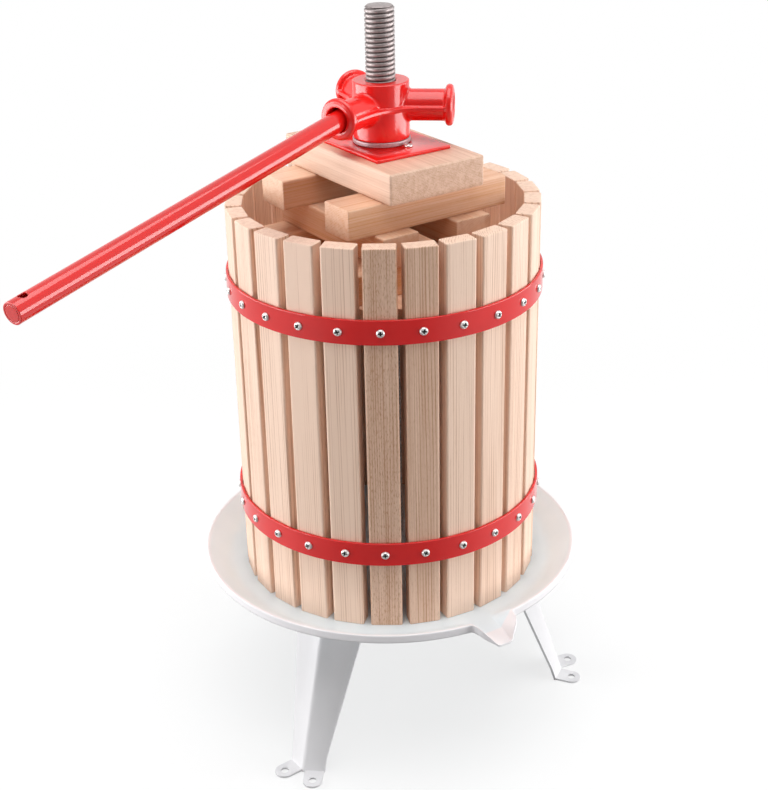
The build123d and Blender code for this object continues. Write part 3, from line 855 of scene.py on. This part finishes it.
def eased_round(values, spread):
    """Values given evenly all round, averaged with their neighbours by a bell curve of the given spread in samples."""
    reach = np.arange(-4 * spread, 4 * spread + 1)
    bell = np.exp(-0.5 * (reach / spread) ** 2)
    return np.convolve(np.concatenate([values[-4 * spread:], values, values[:4 * spread]]), bell / bell.sum(), "valid")


def tray_plan(sizes, bearings):
    """Floor edge, wall top, height share and its smooth step at each bearing from the spout.

    The floor edge is the floor's circle, or where the bearing meets the spout's side line or its tip if that is
    further. The wall's height share falls to 0 along the slope at the spout's tip. All are eased round the tray.
    """
    samples, spread, spout_half_angle, far_off = 7200, 9, 0.5, 1e9
    turn = np.linspace(-pi, pi, samples, endpoint=False)
    tip, taper = sizes.spout_tip - 0.001, (sizes.root_half - sizes.tip_half) / (sizes.spout_tip - sizes.spout_root)
    ahead = np.abs(turn) < spout_half_angle
    lean = np.where(ahead, np.sin(np.abs(turn)) + taper * np.cos(turn), far_off)
    reach = np.where(ahead, tip / np.cos(turn), 0)
    side = sizes.root_half + taper * sizes.spout_root
    floor = np.maximum(sizes.floor_radius, np.minimum(side / lean, reach))
    wall = np.maximum(sizes.rim_radius - sizes.rim_flat, (side + sizes.side_lean) / lean)
    share = np.clip((tip - floor * np.cos(turn)) / ((wall - floor) * np.cos(turn) + sizes.slope_run), 0, 1)
    share = np.where(ahead, share, 1)
    top = floor + share * (wall - floor)
    rise = smooth_step(0.0, 1.0, share)
    return [np.interp(bearings, turn, eased_round(value, spread)) for value in (floor, top, share, rise)]


def tray_section(sizes, bearings):
    """Closed section of the tray's sheet at each bearing: over the floor, wall and rim, down the lip, and back below.

    Both lines are splines. Their control points run out along the floor, bend up at the wall's foot, pass the wall's
    middle and bend out again at the rim. At the spout's tip, where the wall has no height, the rim narrows to a bare
    edge.
    """
    floor, top, share, rise = tray_plan(sizes, bearings)
    ground, sheet = SLAT_LOW.z, sizes.sheet
    level = ground + share * (TRAY_HIGH.z - ground)
    flat = sizes.rim_flat * (0.34 + 0.66 * rise)
    lip = sheet + (sizes.lip - sheet) * rise
    rim = np.minimum(top + flat, sizes.spout_tip / np.maximum(np.cos(bearings), 0.5))
    inner, lip_end = rim - sheet * (0.3 + 0.7 * rise), level - lip
    slope = (level - ground) / np.maximum(top - floor, 1e-4)
    below_rim = np.minimum(level - sheet * np.hypot(1, slope) * 0.9, level - sheet)
    inside, foot, below_floor = 0.6 * floor, floor - 0.010, ground - sheet
    wall, wall_level = (floor + top) / 2, (ground + level) / 2

    def line(*points):
        """Control line of (radius, height) points, each given for all bearings."""
        return np.stack([np.stack(np.broadcast_arrays(*point, floor)[:2], -1) for point in points])

    over = line((sizes.bore, ground), (sizes.bore + 0.004, ground), (inside, ground), (foot, ground),
                (floor + 0.001 * share, ground + 0.02 * (level - ground)), (wall, wall_level),
                (top - 0.0015 * share, level - 0.0012 * share), (top + 0.25 * flat, level),
                (rim, level), (rim, level - 0.3 * lip), (rim, lip_end))
    under = line((inner, lip_end), (inner, np.maximum(below_rim, lip_end)),
                 (wall + 0.3 * sheet * share, wall_level - sheet * (1 + 0.1 * share)),
                 (floor + 0.002 * share, below_floor), (foot, below_floor), (inside, below_floor),
                 (sizes.bore, below_floor))
    return np.concatenate([spline_rows(over, steps=7), spline_rows(under, steps=6)])


class PRESS_OT_tray(Operator):
    """Press the tray: one sheet whose wall sweeps up from the floor to a rolled rim and dips into the spout

    Its columns stand closest at the spout, at the bearings b - k sin b for even steps of b.
    """

    bl_idname = "fruit_press.tray"
    bl_label = "Tray"

    def execute(self, context):
        sizes = settings(TraySizes)
        columns, crowding = 520, 0.86
        even = np.linspace(-pi, pi, columns, endpoint=False)
        bearings = even - crowding * np.sin(even)
        section = tray_section(sizes, bearings)
        radius, height = section[..., 0], section[..., 1]
        points = np.stack([radius * np.sin(bearings), -radius * np.cos(bearings), height], -1)
        tray = put_grid("tray_pressing", points, ring=True)
        dress(tray, "stand", finish_for("tray enamel"), "tray")
        return {"FINISHED"}


class PRESS_OT_legs(Operator):
    """Fold the three sheet legs, with their edges eased"""

    bl_idname = "fruit_press.legs"
    bl_label = "Legs"

    def execute(self, context):
        for node in ("left_leg", "right_leg", "rear_leg"):
            leg = merged_copy(node, node + "_folded", bevel=0.0006)
            dress(leg, "stand", finish_for("white enamel"), node)
        return {"FINISHED"}


class PRESS_OT_fasteners(Operator):
    """Make the bolts and nuts of the legs and the nuts of the press screw, with their edges eased"""

    bl_idname = "fruit_press.fasteners"
    bl_label = "Bolts and nuts"

    def execute(self, context):
        for node, slot, bevel in (("leg_bolts", "bright_screws", 0.0004), ("leg_nuts", "bright_screws", 0.0004),
                                  ("base_nuts", "screw_steel", 0.0008)):
            dress(merged_copy(node, node + "_hex", bevel), "stand", finish_for("plated zinc"), node)
        return {"FINISHED"}


class PRESS_OT_thread(Operator):
    """Roll the thread of the press screw

    Rows of points follow the helix z = pitch (j / m + i / n) at turn i / n, so that each row keeps one place on the
    thread's section, and a row's end meets the row m further up. With c from 0 in the root to 1 on the crest, the
    section lies d (1 - s + k (1 - c)^2) below the crest, where s is the smooth step of c over the flank and k the
    hollow of the root. Past each end the points fall to the end's middle.
    """

    bl_idname = "fruit_press.thread"
    bl_label = "Press screw"

    def execute(self, context):
        sizes = settings(DriveSizes)
        per_turn, columns, flank, hollow = 12, 40, 0.48, 0.15
        low, high, crest = SCREW_LOW.z, SCREW_HIGH.z, SCREW_HIGH.x
        rows = int((high - low) / sizes.pitch + 4) * per_turn
        row, column = np.arange(rows)[:, None], np.arange(columns)[None, :]
        lift = low + sizes.pitch * (row / per_turn + column / columns - 2)
        ridge = np.abs(2 * ((row / per_turn) % 1.0) - 1)
        radius = crest - sizes.thread_depth * (1 - smooth_step(0.0, flank, ridge) + hollow * (1 - ridge) ** 2)
        height = np.clip(lift, low, high)
        radius = np.minimum(radius, crest - sizes.screw_chamfer + np.minimum(high - height, height - low))
        step = sizes.pitch / per_turn
        radius = np.where((lift < low - step) | (lift > high + step), 0.0, radius)
        sweep = TURN * column / columns
        points = np.stack([radius * np.cos(sweep), radius * np.sin(sweep), height], -1)
        inside = grid_quads(rows, columns, wrap_columns=False)
        first = np.arange(rows - per_turn - 1)
        seam = np.stack([first * columns + columns - 1, (first + per_turn) * columns,
                         (first + per_turn + 1) * columns, (first + 1) * columns + columns - 1], -1)
        screw = put_mesh("press_screw_thread", points, np.concatenate([inside, seam]), welded=True)
        dress(screw, "stand", finish_for("rolled thread"), "press_screw")
        return {"FINISHED"}


class PRESS_OT_stack(Operator):
    """Plane the loose beams and the bored top block, and coat the press boards"""

    bl_idname = "fruit_press.stack"
    bl_label = "Wooden stack"

    def execute(self, context):
        sizes = settings(DriveSizes)
        along, across = stack_axes()
        # The beams take tones well above the block's and darker sides: painted shade inside the stack.
        *tones, block_tone = np.random.default_rng(seed=23).normal(0.22, 0.04, 7)
        block_tone -= 0.18
        beams = (("lower_front_beam", along), ("lower_rear_beam", along), ("middle_left_beam", across),
                 ("middle_right_beam", across), ("upper_front_beam", along), ("upper_rear_beam", along))
        for number, (node, grain) in enumerate(beams):
            low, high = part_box(node)
            foot = middle_of(node) - grain * sizes.beam_span / 2
            beam = planed_board(node + "_planed", sizes.beam_width / 2, (high.z - low.z) / 2, sizes.beam_span,
                                sizes.block_edge, (np.cross(UP, grain), UP, grain), foot, 40 + number, tones[number],
                                side_painted_shade=0.20)
            dress(beam, "press_stack", finish_for("painted-shade beech"), node)
        low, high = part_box("top_block")
        local = bored_slab(sizes.block_across / 2, sizes.beam_span / 2, sizes.block_edge, high.z - low.z,
                           sizes.block_edge, sizes.block_bore)
        block = put_grid("top_block_planed", placed(local, low.z * UP, along, across, UP), ring=True)
        ends = np.abs(local[..., 1]).ravel() > sizes.beam_span / 2 - MERGE
        mark_grain(block, local[..., [0, 2, 1]], seed=60, tone=block_tone + 0.22 * ends, flecks=0.15 + 0.3 * ends,
                   lines=0.3)
        dress(block, "press_stack", finish_for("planed beech"), "top_block")
        for node in ("press_board_left", "press_board_right"):
            coat_node(node, finish_for("board beech"))
        return {"FINISHED"}


class PRESS_OT_plate(Operator):
    """Stamp the pressure plate and turn the thrust washer on it"""

    bl_idname = "fruit_press.plate"
    bl_label = "Plate and washer"

    def execute(self, context):
        sizes = settings(DriveSizes)
        thick = PLATE_HIGH.z - PLATE_LOW.z
        local = bored_slab(sizes.plate_width / 2, sizes.plate_length / 2, sizes.plate_corner, thick, 0.25 * thick,
                           sizes.plate_bore)
        plate = put_grid("pressure_plate_stamping", placed(local, PLATE_LOW.z * UP, *stack_axes(), UP), ring=True)
        dress(plate, "press_stack", finish_for("plate red"), "pressure_plate")
        radius, thick = WASHER_HIGH.x, WASHER_HIGH.z - WASHER_LOW.z
        section = rounded_loop((radius - sizes.washer_bore) / 2, thick / 2, corner=0.0006, steps=3, flat=0.0004)
        middle = (radius + sizes.washer_bore) / 2, (WASHER_LOW.z + WASHER_HIGH.z) / 2
        washer = put_grid("thrust_washer_turned", turned_grid(section + middle, columns=96), ring=True)
        dress(washer, "press_stack", finish_for("turned steel"), "thrust_washer")
        return {"FINISHED"}


def soft_union(a, b, reach):
    """The lesser of two distances, blended where they differ by less than the reach.

    With h = 1/2 + (b - a) / 2r kept in 0 to 1, it is b + (a - b) h - r h (1 - h).
    """
    h = np.clip(0.5 + 0.5 * (b - a) / reach, 0, 1)
    return b + (a - b) * h - reach * h * (1 - h)


def round_rod(radial, along, radius, half, edge):
    """Distance to a round rod of that radius and half length, its end edges rounded."""
    out, past = radial - radius + edge, np.abs(along) - half + edge
    return np.minimum(np.maximum(out, past), 0) + np.hypot(np.maximum(out, 0), np.maximum(past, 0)) - edge


def casting_distance(points, sizes):
    """Distance to the skin of the cast head, negative inside.

    A hub, three arms with rounded collars and a thin web that sweeps between them, blended into each other, less the
    bore and the three sockets. The arms are folded onto one by turning each point into the nearest third of the turn.
    """
    hub_edge, arm_edge, collar_edge, web_edge, socket_edge, bore_edge = 0.0012, 0.001, 0.0030, 0.0008, 0.0012, 0.0008
    arm_fillet, web_fillet, collar_fillet, bore_flare = 0.0026, 0.0014, 0.0022, 0.0012
    x, y, z = points[..., 0], points[..., 1], points[..., 2] - sizes.arm_height
    out = np.hypot(x, y)
    third = TURN / 3
    bearing = (np.arctan2(y, x) - sizes.first_arm + third / 2) % third - third / 2
    along, beside = out * np.cos(bearing), np.abs(out * np.sin(bearing))
    radial = np.hypot(beside, z)
    top, foot = HEAD_HIGH.z - sizes.arm_height, HEAD_LOW.z - sizes.arm_height
    hub = round_rod(out, z - (top + foot) / 2, sizes.hub_radius, (top - foot) / 2, hub_edge)
    arm = round_rod(radial, along - sizes.arm_reach / 2, sizes.arm_radius, sizes.arm_reach / 2, arm_edge)
    collar = round_rod(radial, along - sizes.arm_reach + sizes.collar_length / 2, sizes.collar_radius,
                       sizes.collar_length / 2, collar_edge)
    swing = sizes.web_corner + sizes.web_half
    turn_at = swing / tan(pi / 3)
    sweep = sizes.web_corner - np.hypot(along - turn_at, beside - swing)
    plan = np.where(along < turn_at, sweep, beside - sizes.web_half)
    plan = np.maximum(plan, along - sizes.arm_reach + sizes.collar_length)
    web = -soft_union(-plan, sizes.web_thick / 2 - np.abs(z), web_edge)
    body = soft_union(soft_union(hub, arm, arm_fillet), web, web_fillet)
    body = soft_union(body, collar, collar_fillet)
    socket = np.maximum(radial - sizes.socket_radius, sizes.arm_reach - sizes.socket_depth - along)
    body = -soft_union(-body, socket, socket_edge)
    return -soft_union(-body, out - sizes.head_bore - np.maximum(z - top + bore_flare, 0), bore_edge)


def net_round(field, axes):
    """Points and quads of the skin where a distance sampled on three axes changes sign.

    Each cell that the skin crosses gets one point, the middle of the crossings on its edges, and each grid edge that
    it crosses joins the points of the four cells round that edge.
    """
    inside = field < 0
    cells = tuple(n - 1 for n in field.shape)
    corner = np.array([(a, b, c) for a in (0, 1) for b in (0, 1) for c in (0, 1)])
    views = [tuple(slice(o, o + n) for o, n in zip(offset, cells)) for offset in corner]
    count = sum(inside[view].astype(np.int8) for view in views)
    crossed = (count > 0) & (count < 8)
    number = np.full(cells, -1)
    number[crossed] = np.arange(crossed.sum())
    values = np.stack([field[view][crossed] for view in views], 1)
    total, hits = np.zeros((len(values), 3)), np.zeros((len(values), 1))
    for a in range(8):
        for b in range(a + 1, 8):
            if np.abs(corner[a] - corner[b]).sum() == 1:
                cut = (values[:, a] < 0) != (values[:, b] < 0)
                share = np.where(cut, values[:, a] / np.where(cut, values[:, a] - values[:, b], 1), 0)[:, None]
                total += np.where(cut[:, None], corner[a] + share * (corner[b] - corner[a]), 0)
                hits += cut[:, None]
    cell = np.stack(np.nonzero(crossed), 1) + total / hits
    points = np.stack([np.interp(cell[:, k], np.arange(len(axes[k])), axes[k]) for k in range(3)], 1)
    quads = []
    for axis in range(3):
        u, v = (axis + 1) % 3, (axis + 2) % 3
        here = np.moveaxis(inside, (axis, u, v), (0, 1, 2))
        tag = np.moveaxis(number, (axis, u, v), (0, 1, 2))
        flip = (here[:-1] != here[1:])[:, 1:-1, 1:-1]
        four = np.stack([tag[:, :-1, :-1], tag[:, 1:, :-1], tag[:, 1:, 1:], tag[:, :-1, 1:]], -1)[flip]
        leaving = here[:-1, 1:-1, 1:-1][flip]
        quads.append(np.where(leaving[:, None], four, four[:, ::-1]))
    return points, np.concatenate(quads)


def skin(distance, axes):
    """Points, quads and normals where a distance is zero.

    The net's points move three times by the distance along its slope, d grad d / |grad d|^2, onto the zero. A normal
    is the slope there, taken over a fifth of a millimetre.
    """
    fine, broad, longest_step, least_slope = 1e-5, 1e-4, 0.0009, 0.2

    def slope(places, small):
        """Slope of the distance: (d(p + s) - d(p - s)) / 2s along each axis."""
        rises = [distance(places + small * side) - distance(places - small * side) for side in np.eye(3)]
        return np.stack(rises, 1) / (2 * small)

    points, quads = net_round(distance(np.stack(np.meshgrid(*axes, indexing="ij"), -1)), axes)
    for _ in range(3):
        steep = slope(points, fine)
        here = np.clip(distance(points), -longest_step, longest_step)[:, None]
        points = points - here * steep / np.maximum((steep ** 2).sum(1, keepdims=True), least_slope)
    normals = slope(points, broad)
    return points, quads, normals / np.linalg.norm(normals, axis=1, keepdims=True)


class PRESS_OT_head(Operator):
    """Cast the press head: the skin of a hub, arms, collars and web blended into each other"""

    bl_idname = "fruit_press.head"
    bl_label = "Press head"

    def execute(self, context):
        sizes, margin, cell = settings(HeadSizes), 0.002, 0.0007
        low, high = np.array(HEAD_LOW) - margin, np.array(HEAD_HIGH) + margin
        axes = [np.arange(low[k], high[k] + cell, cell) for k in range(3)]
        points, quads, normals = skin(lambda places: casting_distance(places, sizes), axes)
        head = put_mesh("press_head_casting", points, quads, normals=normals)
        dress(head, "head", finish_for("cast red"), "press_head")
        return {"FINISHED"}


def bar_distance(points, sizes):
    """Distance to the turning bar, a tube along z with rounded ends, less a cross hole near its far end."""
    end_edge, hole_edge = 0.0006, 0.0007
    x, y, z = points[..., 0], points[..., 1], points[..., 2]
    half_wall, half_length = sizes.bar_wall / 2, sizes.bar_length / 2
    from_middle = np.abs(np.hypot(x, y) - (sizes.bar_radius - half_wall))
    tube = round_rod(from_middle, z - half_length, half_wall, half_length, end_edge)
    hole = np.hypot(x, z - sizes.bar_length + sizes.hole_inset) - sizes.hole_radius
    return -soft_union(-tube, hole, hole_edge)


class PRESS_OT_bar(Operator):
    """Cut the turning bar from tube and turn the plug in its far end"""

    bl_idname = "fruit_press.bar"
    bl_label = "Turning bar"

    def execute(self, context):
        sizes = settings(DriveSizes)
        level = outward(settings(HeadSizes).first_arm)
        axis, side = cos(sizes.bar_droop) * level - sin(sizes.bar_droop) * UP, np.cross(UP, level)
        axes = side, np.cross(axis, side), axis
        self.cut_tube(sizes, axes)
        self.turn_plug(sizes, axes)
        return {"FINISHED"}

    def cut_tube(self, sizes, axes):
        """Tube skinned over a net that is fine across it and at its ends, and long between them."""
        cell, long_cell, end_reach, reach = 0.0006, 0.006, 0.0200, sizes.bar_radius + 0.0012
        across = np.arange(-reach, reach + cell / 6, cell)
        ends = np.arange(-0.0015, end_reach, cell)
        between = np.arange(end_reach + 0.0010, sizes.bar_length - end_reach - 0.0005, long_cell)
        along = np.concatenate([ends, between, sizes.bar_length - ends[::-1]])
        points, quads, normals = skin(lambda places: bar_distance(places, sizes), [across, across, along])
        start = middle_of("bar") - axes[2] * sizes.bar_length / 2
        tube = put_mesh("bar_tube", placed(points, start, *axes), quads, normals=placed(normals, (0, 0, 0), *axes))
        dress(tube, "turning_bar", finish_for("bar red"), "bar")

    def turn_plug(self, sizes, axes):
        """Plug turned from a profile in shares of its radius and half length, its outer edge rounded."""
        profile = np.array(((0.10, -1.0), (0.95, -1.0), (1.0, -0.95), (1.0, 0.90), (0.985, 0.96), (0.96, 0.99),
                            (0.92, 1.0), (0.60, 1.0), (0.10, 1.0)))
        local = turned_grid(profile * (sizes.plug_radius, sizes.plug_length / 2), columns=64)
        plug = put_grid("bar_plug_cap", placed(local, middle_of("bar_plug"), *axes))
        dress(plug, "turning_bar", finish_for("bar red"), "bar_plug")


def turned_to(place, side, back):
    """Matrix that puts an object at a place with its x along the side and its z along the back."""
    turned = np.eye(4)
    turned[:3] = np.stack([side, np.cross(back, side), back, place], 1)
    return Matrix(turned.tolist())


def put_lamp(name, place, side, back, energy, size):
    """Oblong soft lamp at a place that shines away from its back, the first of its sizes along the side."""
    data = bpy.data.lights.new(name, "AREA")
    data.shape, data.energy = "RECTANGLE", energy
    data.size, data.size_y = size
    put_object(name, data).matrix_world = turned_to(place, side, back)


class PRESS_OT_stage(Operator):
    """Set the pale floor, the soft lamps on both sides and overhead, the room's light and the camera"""

    bl_idname = "fruit_press.stage"
    bl_label = "Studio"

    def execute(self, context):
        studio, scene = settings(StudioSettings), context.scene
        self.lay_floor(studio)
        self.hang_lamps(studio)
        self.light_room(studio, scene)
        self.place_camera(studio, scene)
        scene.view_settings.view_transform = "Standard"
        return {"FINISHED"}

    def lay_floor(self, studio):
        """Square floor just under the feet."""
        reach, level = 14.0, -0.0003
        line = np.linspace(-reach, reach, 3)
        points = np.stack([*np.meshgrid(line, line, indexing="ij"), np.full((3, 3), level)], -1)
        floor = put_mesh("studio_floor", points, grid_quads(3, 3, wrap_columns=False))
        floor.data.materials.append(self.floor_finish(studio))
        if floor.data.polygons[0].normal.z < 0:
            floor.data.flip_normals()

    def hang_lamps(self, studio):
        """A long low lamp beside the press on each hand, and a wide one overhead."""
        side_turn, side_reach, side_height, side_size = radians(92.0), 1.8, 0.45, (2.2, 0.9)
        top_height, top_back, top_size = 3.4, 0.45, (3.4, 3.2)
        for name, hand, energy in (("left lamp", 1, studio.left_light), ("right lamp", -1, studio.right_light)):
            away = outward(studio.heading + hand * side_turn)
            put_lamp(name, side_reach * away + side_height * UP, np.cross(UP, away), away, energy, side_size)
        ahead = outward(studio.heading)
        put_lamp("top lamp", top_height * UP - top_back * ahead, ahead, UP, studio.top_light, top_size)

    def light_room(self, studio, scene):
        """White room that lights the press softly and is seen as plain white."""
        scene.world = bpy.data.worlds.new("studio room")
        scene.world.use_nodes = True
        tree = scene.world.node_tree
        room = tree.nodes["Background"].inputs
        room["Color"].default_value = (1.0, 1.0, 1.0, 1.0)
        seen = self.backdrop_share(tree, wire(tree, "ShaderNodeTexCoord").outputs["Generated"], studio)
        tree.links.new(remap(tree, seen, 0.0, 1.0, studio.room_light, 1.0), room["Strength"])

    def backdrop_share(self, tree, place, studio):
        """How far a place is seen as white backdrop: by the camera, through glass, and in gloss save on the near side.

        The near side is where the place's bearing b points back along the heading h: the gloss fades from b . h = -0.35
        and is all but gone at -0.92.
        """
        path = wire(tree, "ShaderNodeLightPath").outputs
        bearing = wire(tree, "ShaderNodeVectorMath", {0: place}, operation="NORMALIZE").outputs[0]
        beyond = measured(tree, "DOT_PRODUCT", bearing, outward(studio.heading))
        gloss = reckon(tree, "MULTIPLY", path["Is Glossy Ray"], remap(tree, beyond, -0.92, -0.35, 0.05, 1.0))
        seen = reckon(tree, "MAXIMUM", path["Is Camera Ray"], path["Is Transmission Ray"])
        return reckon(tree, "MAXIMUM", seen, gloss)

    def floor_finish(self, studio):
        """Matt pale floor that keeps its shadows and fades to plain white away from the press."""
        fade_start, fade_end = 0.42, 0.95
        made, tree, shader = start_finish("pale floor", gloss=0.0)
        place = object_place(tree)
        cloud = remap(tree, noise(tree, place, (0.8, 0.8, 0.8)), 0.3, 0.7)
        pale = blended(tree, cloud, opaque(studio.floor), opaque(studio.floor, 0.97))
        tree.links.new(pale, shader.inputs["Base Color"])
        shader.inputs["Roughness"].default_value = 0.9
        seen = self.backdrop_share(tree, place, studio)
        glow = wire(tree, "ShaderNodeEmission", {"Strength": reckon(tree, "MULTIPLY", seen, studio.floor_lift)})
        near = wire(tree, "ShaderNodeAddShader", {0: shader.outputs[0], 1: glow.outputs[0]})
        plain = wire(tree, "ShaderNodeEmission", {"Strength": 1.0})
        away = remap(tree, measured(tree, "LENGTH", place), fade_start, fade_end)
        mixed = wire(tree, "ShaderNodeMixShader", {
            0: reckon(tree, "MULTIPLY", seen, away), 1: near.outputs[0], 2: plain.outputs[0]})
        tree.links.new(mixed.outputs[0], tree.nodes["Material Output"].inputs["Surface"])
        return made

    def place_camera(self, studio, scene):
        """Camera whose view runs along the heading, pitched down and rolled about its own line of sight."""
        ahead, right = outward(studio.heading), outward(studio.heading - pi / 2)
        line = cos(studio.pitch) * ahead - sin(studio.pitch) * UP
        over = sin(studio.pitch) * ahead + cos(studio.pitch) * UP
        data = bpy.data.cameras.new("camera")
        data.sensor_width, data.lens = 36.0, studio.lens
        scene.camera = put_object("camera", data)
        side = cos(studio.roll) * right + sin(studio.roll) * over
        scene.camera.matrix_world = turned_to(studio.camera_place, side, -line)


OPERATORS = (PRESS_OT_slats, PRESS_OT_hoops, PRESS_OT_screws, PRESS_OT_tray, PRESS_OT_legs, PRESS_OT_fasteners,
             PRESS_OT_thread, PRESS_OT_stack, PRESS_OT_plate, PRESS_OT_head, PRESS_OT_bar, PRESS_OT_stage)


class PRESS_PT_sidebar(Panel):
    """Buttons for each piece of the press, and for its studio"""

    bl_idname = "PRESS_PT_sidebar"
    bl_label = "Fruit Press"
    bl_space_type = "VIEW_3D"
    bl_region_type = "UI"
    bl_category = "Fruit Press"

    def draw(self, context):
        for operator in OPERATORS:
            self.layout.operator(operator.bl_idname)


def register():
    for kind in (*GROUPS, *OPERATORS, PRESS_PT_sidebar):
        bpy.utils.register_class(kind)
    for group in GROUPS:
        setattr(bpy.types.Scene, "fruit_press_" + group.__name__.lower(), PointerProperty(type=group))


def unregister():
    for group in GROUPS:
        delattr(bpy.types.Scene, "fruit_press_" + group.__name__.lower())
    for kind in reversed((*GROUPS, *OPERATORS, PRESS_PT_sidebar)):
        bpy.utils.unregister_class(kind)


def main():
    """Make each piece and the studio in turn."""
    register()
    for operator in OPERATORS:
        space, name = operator.bl_idname.split(".")
        getattr(getattr(bpy.ops, space), name)()


if __name__ == "__main__":
    main()
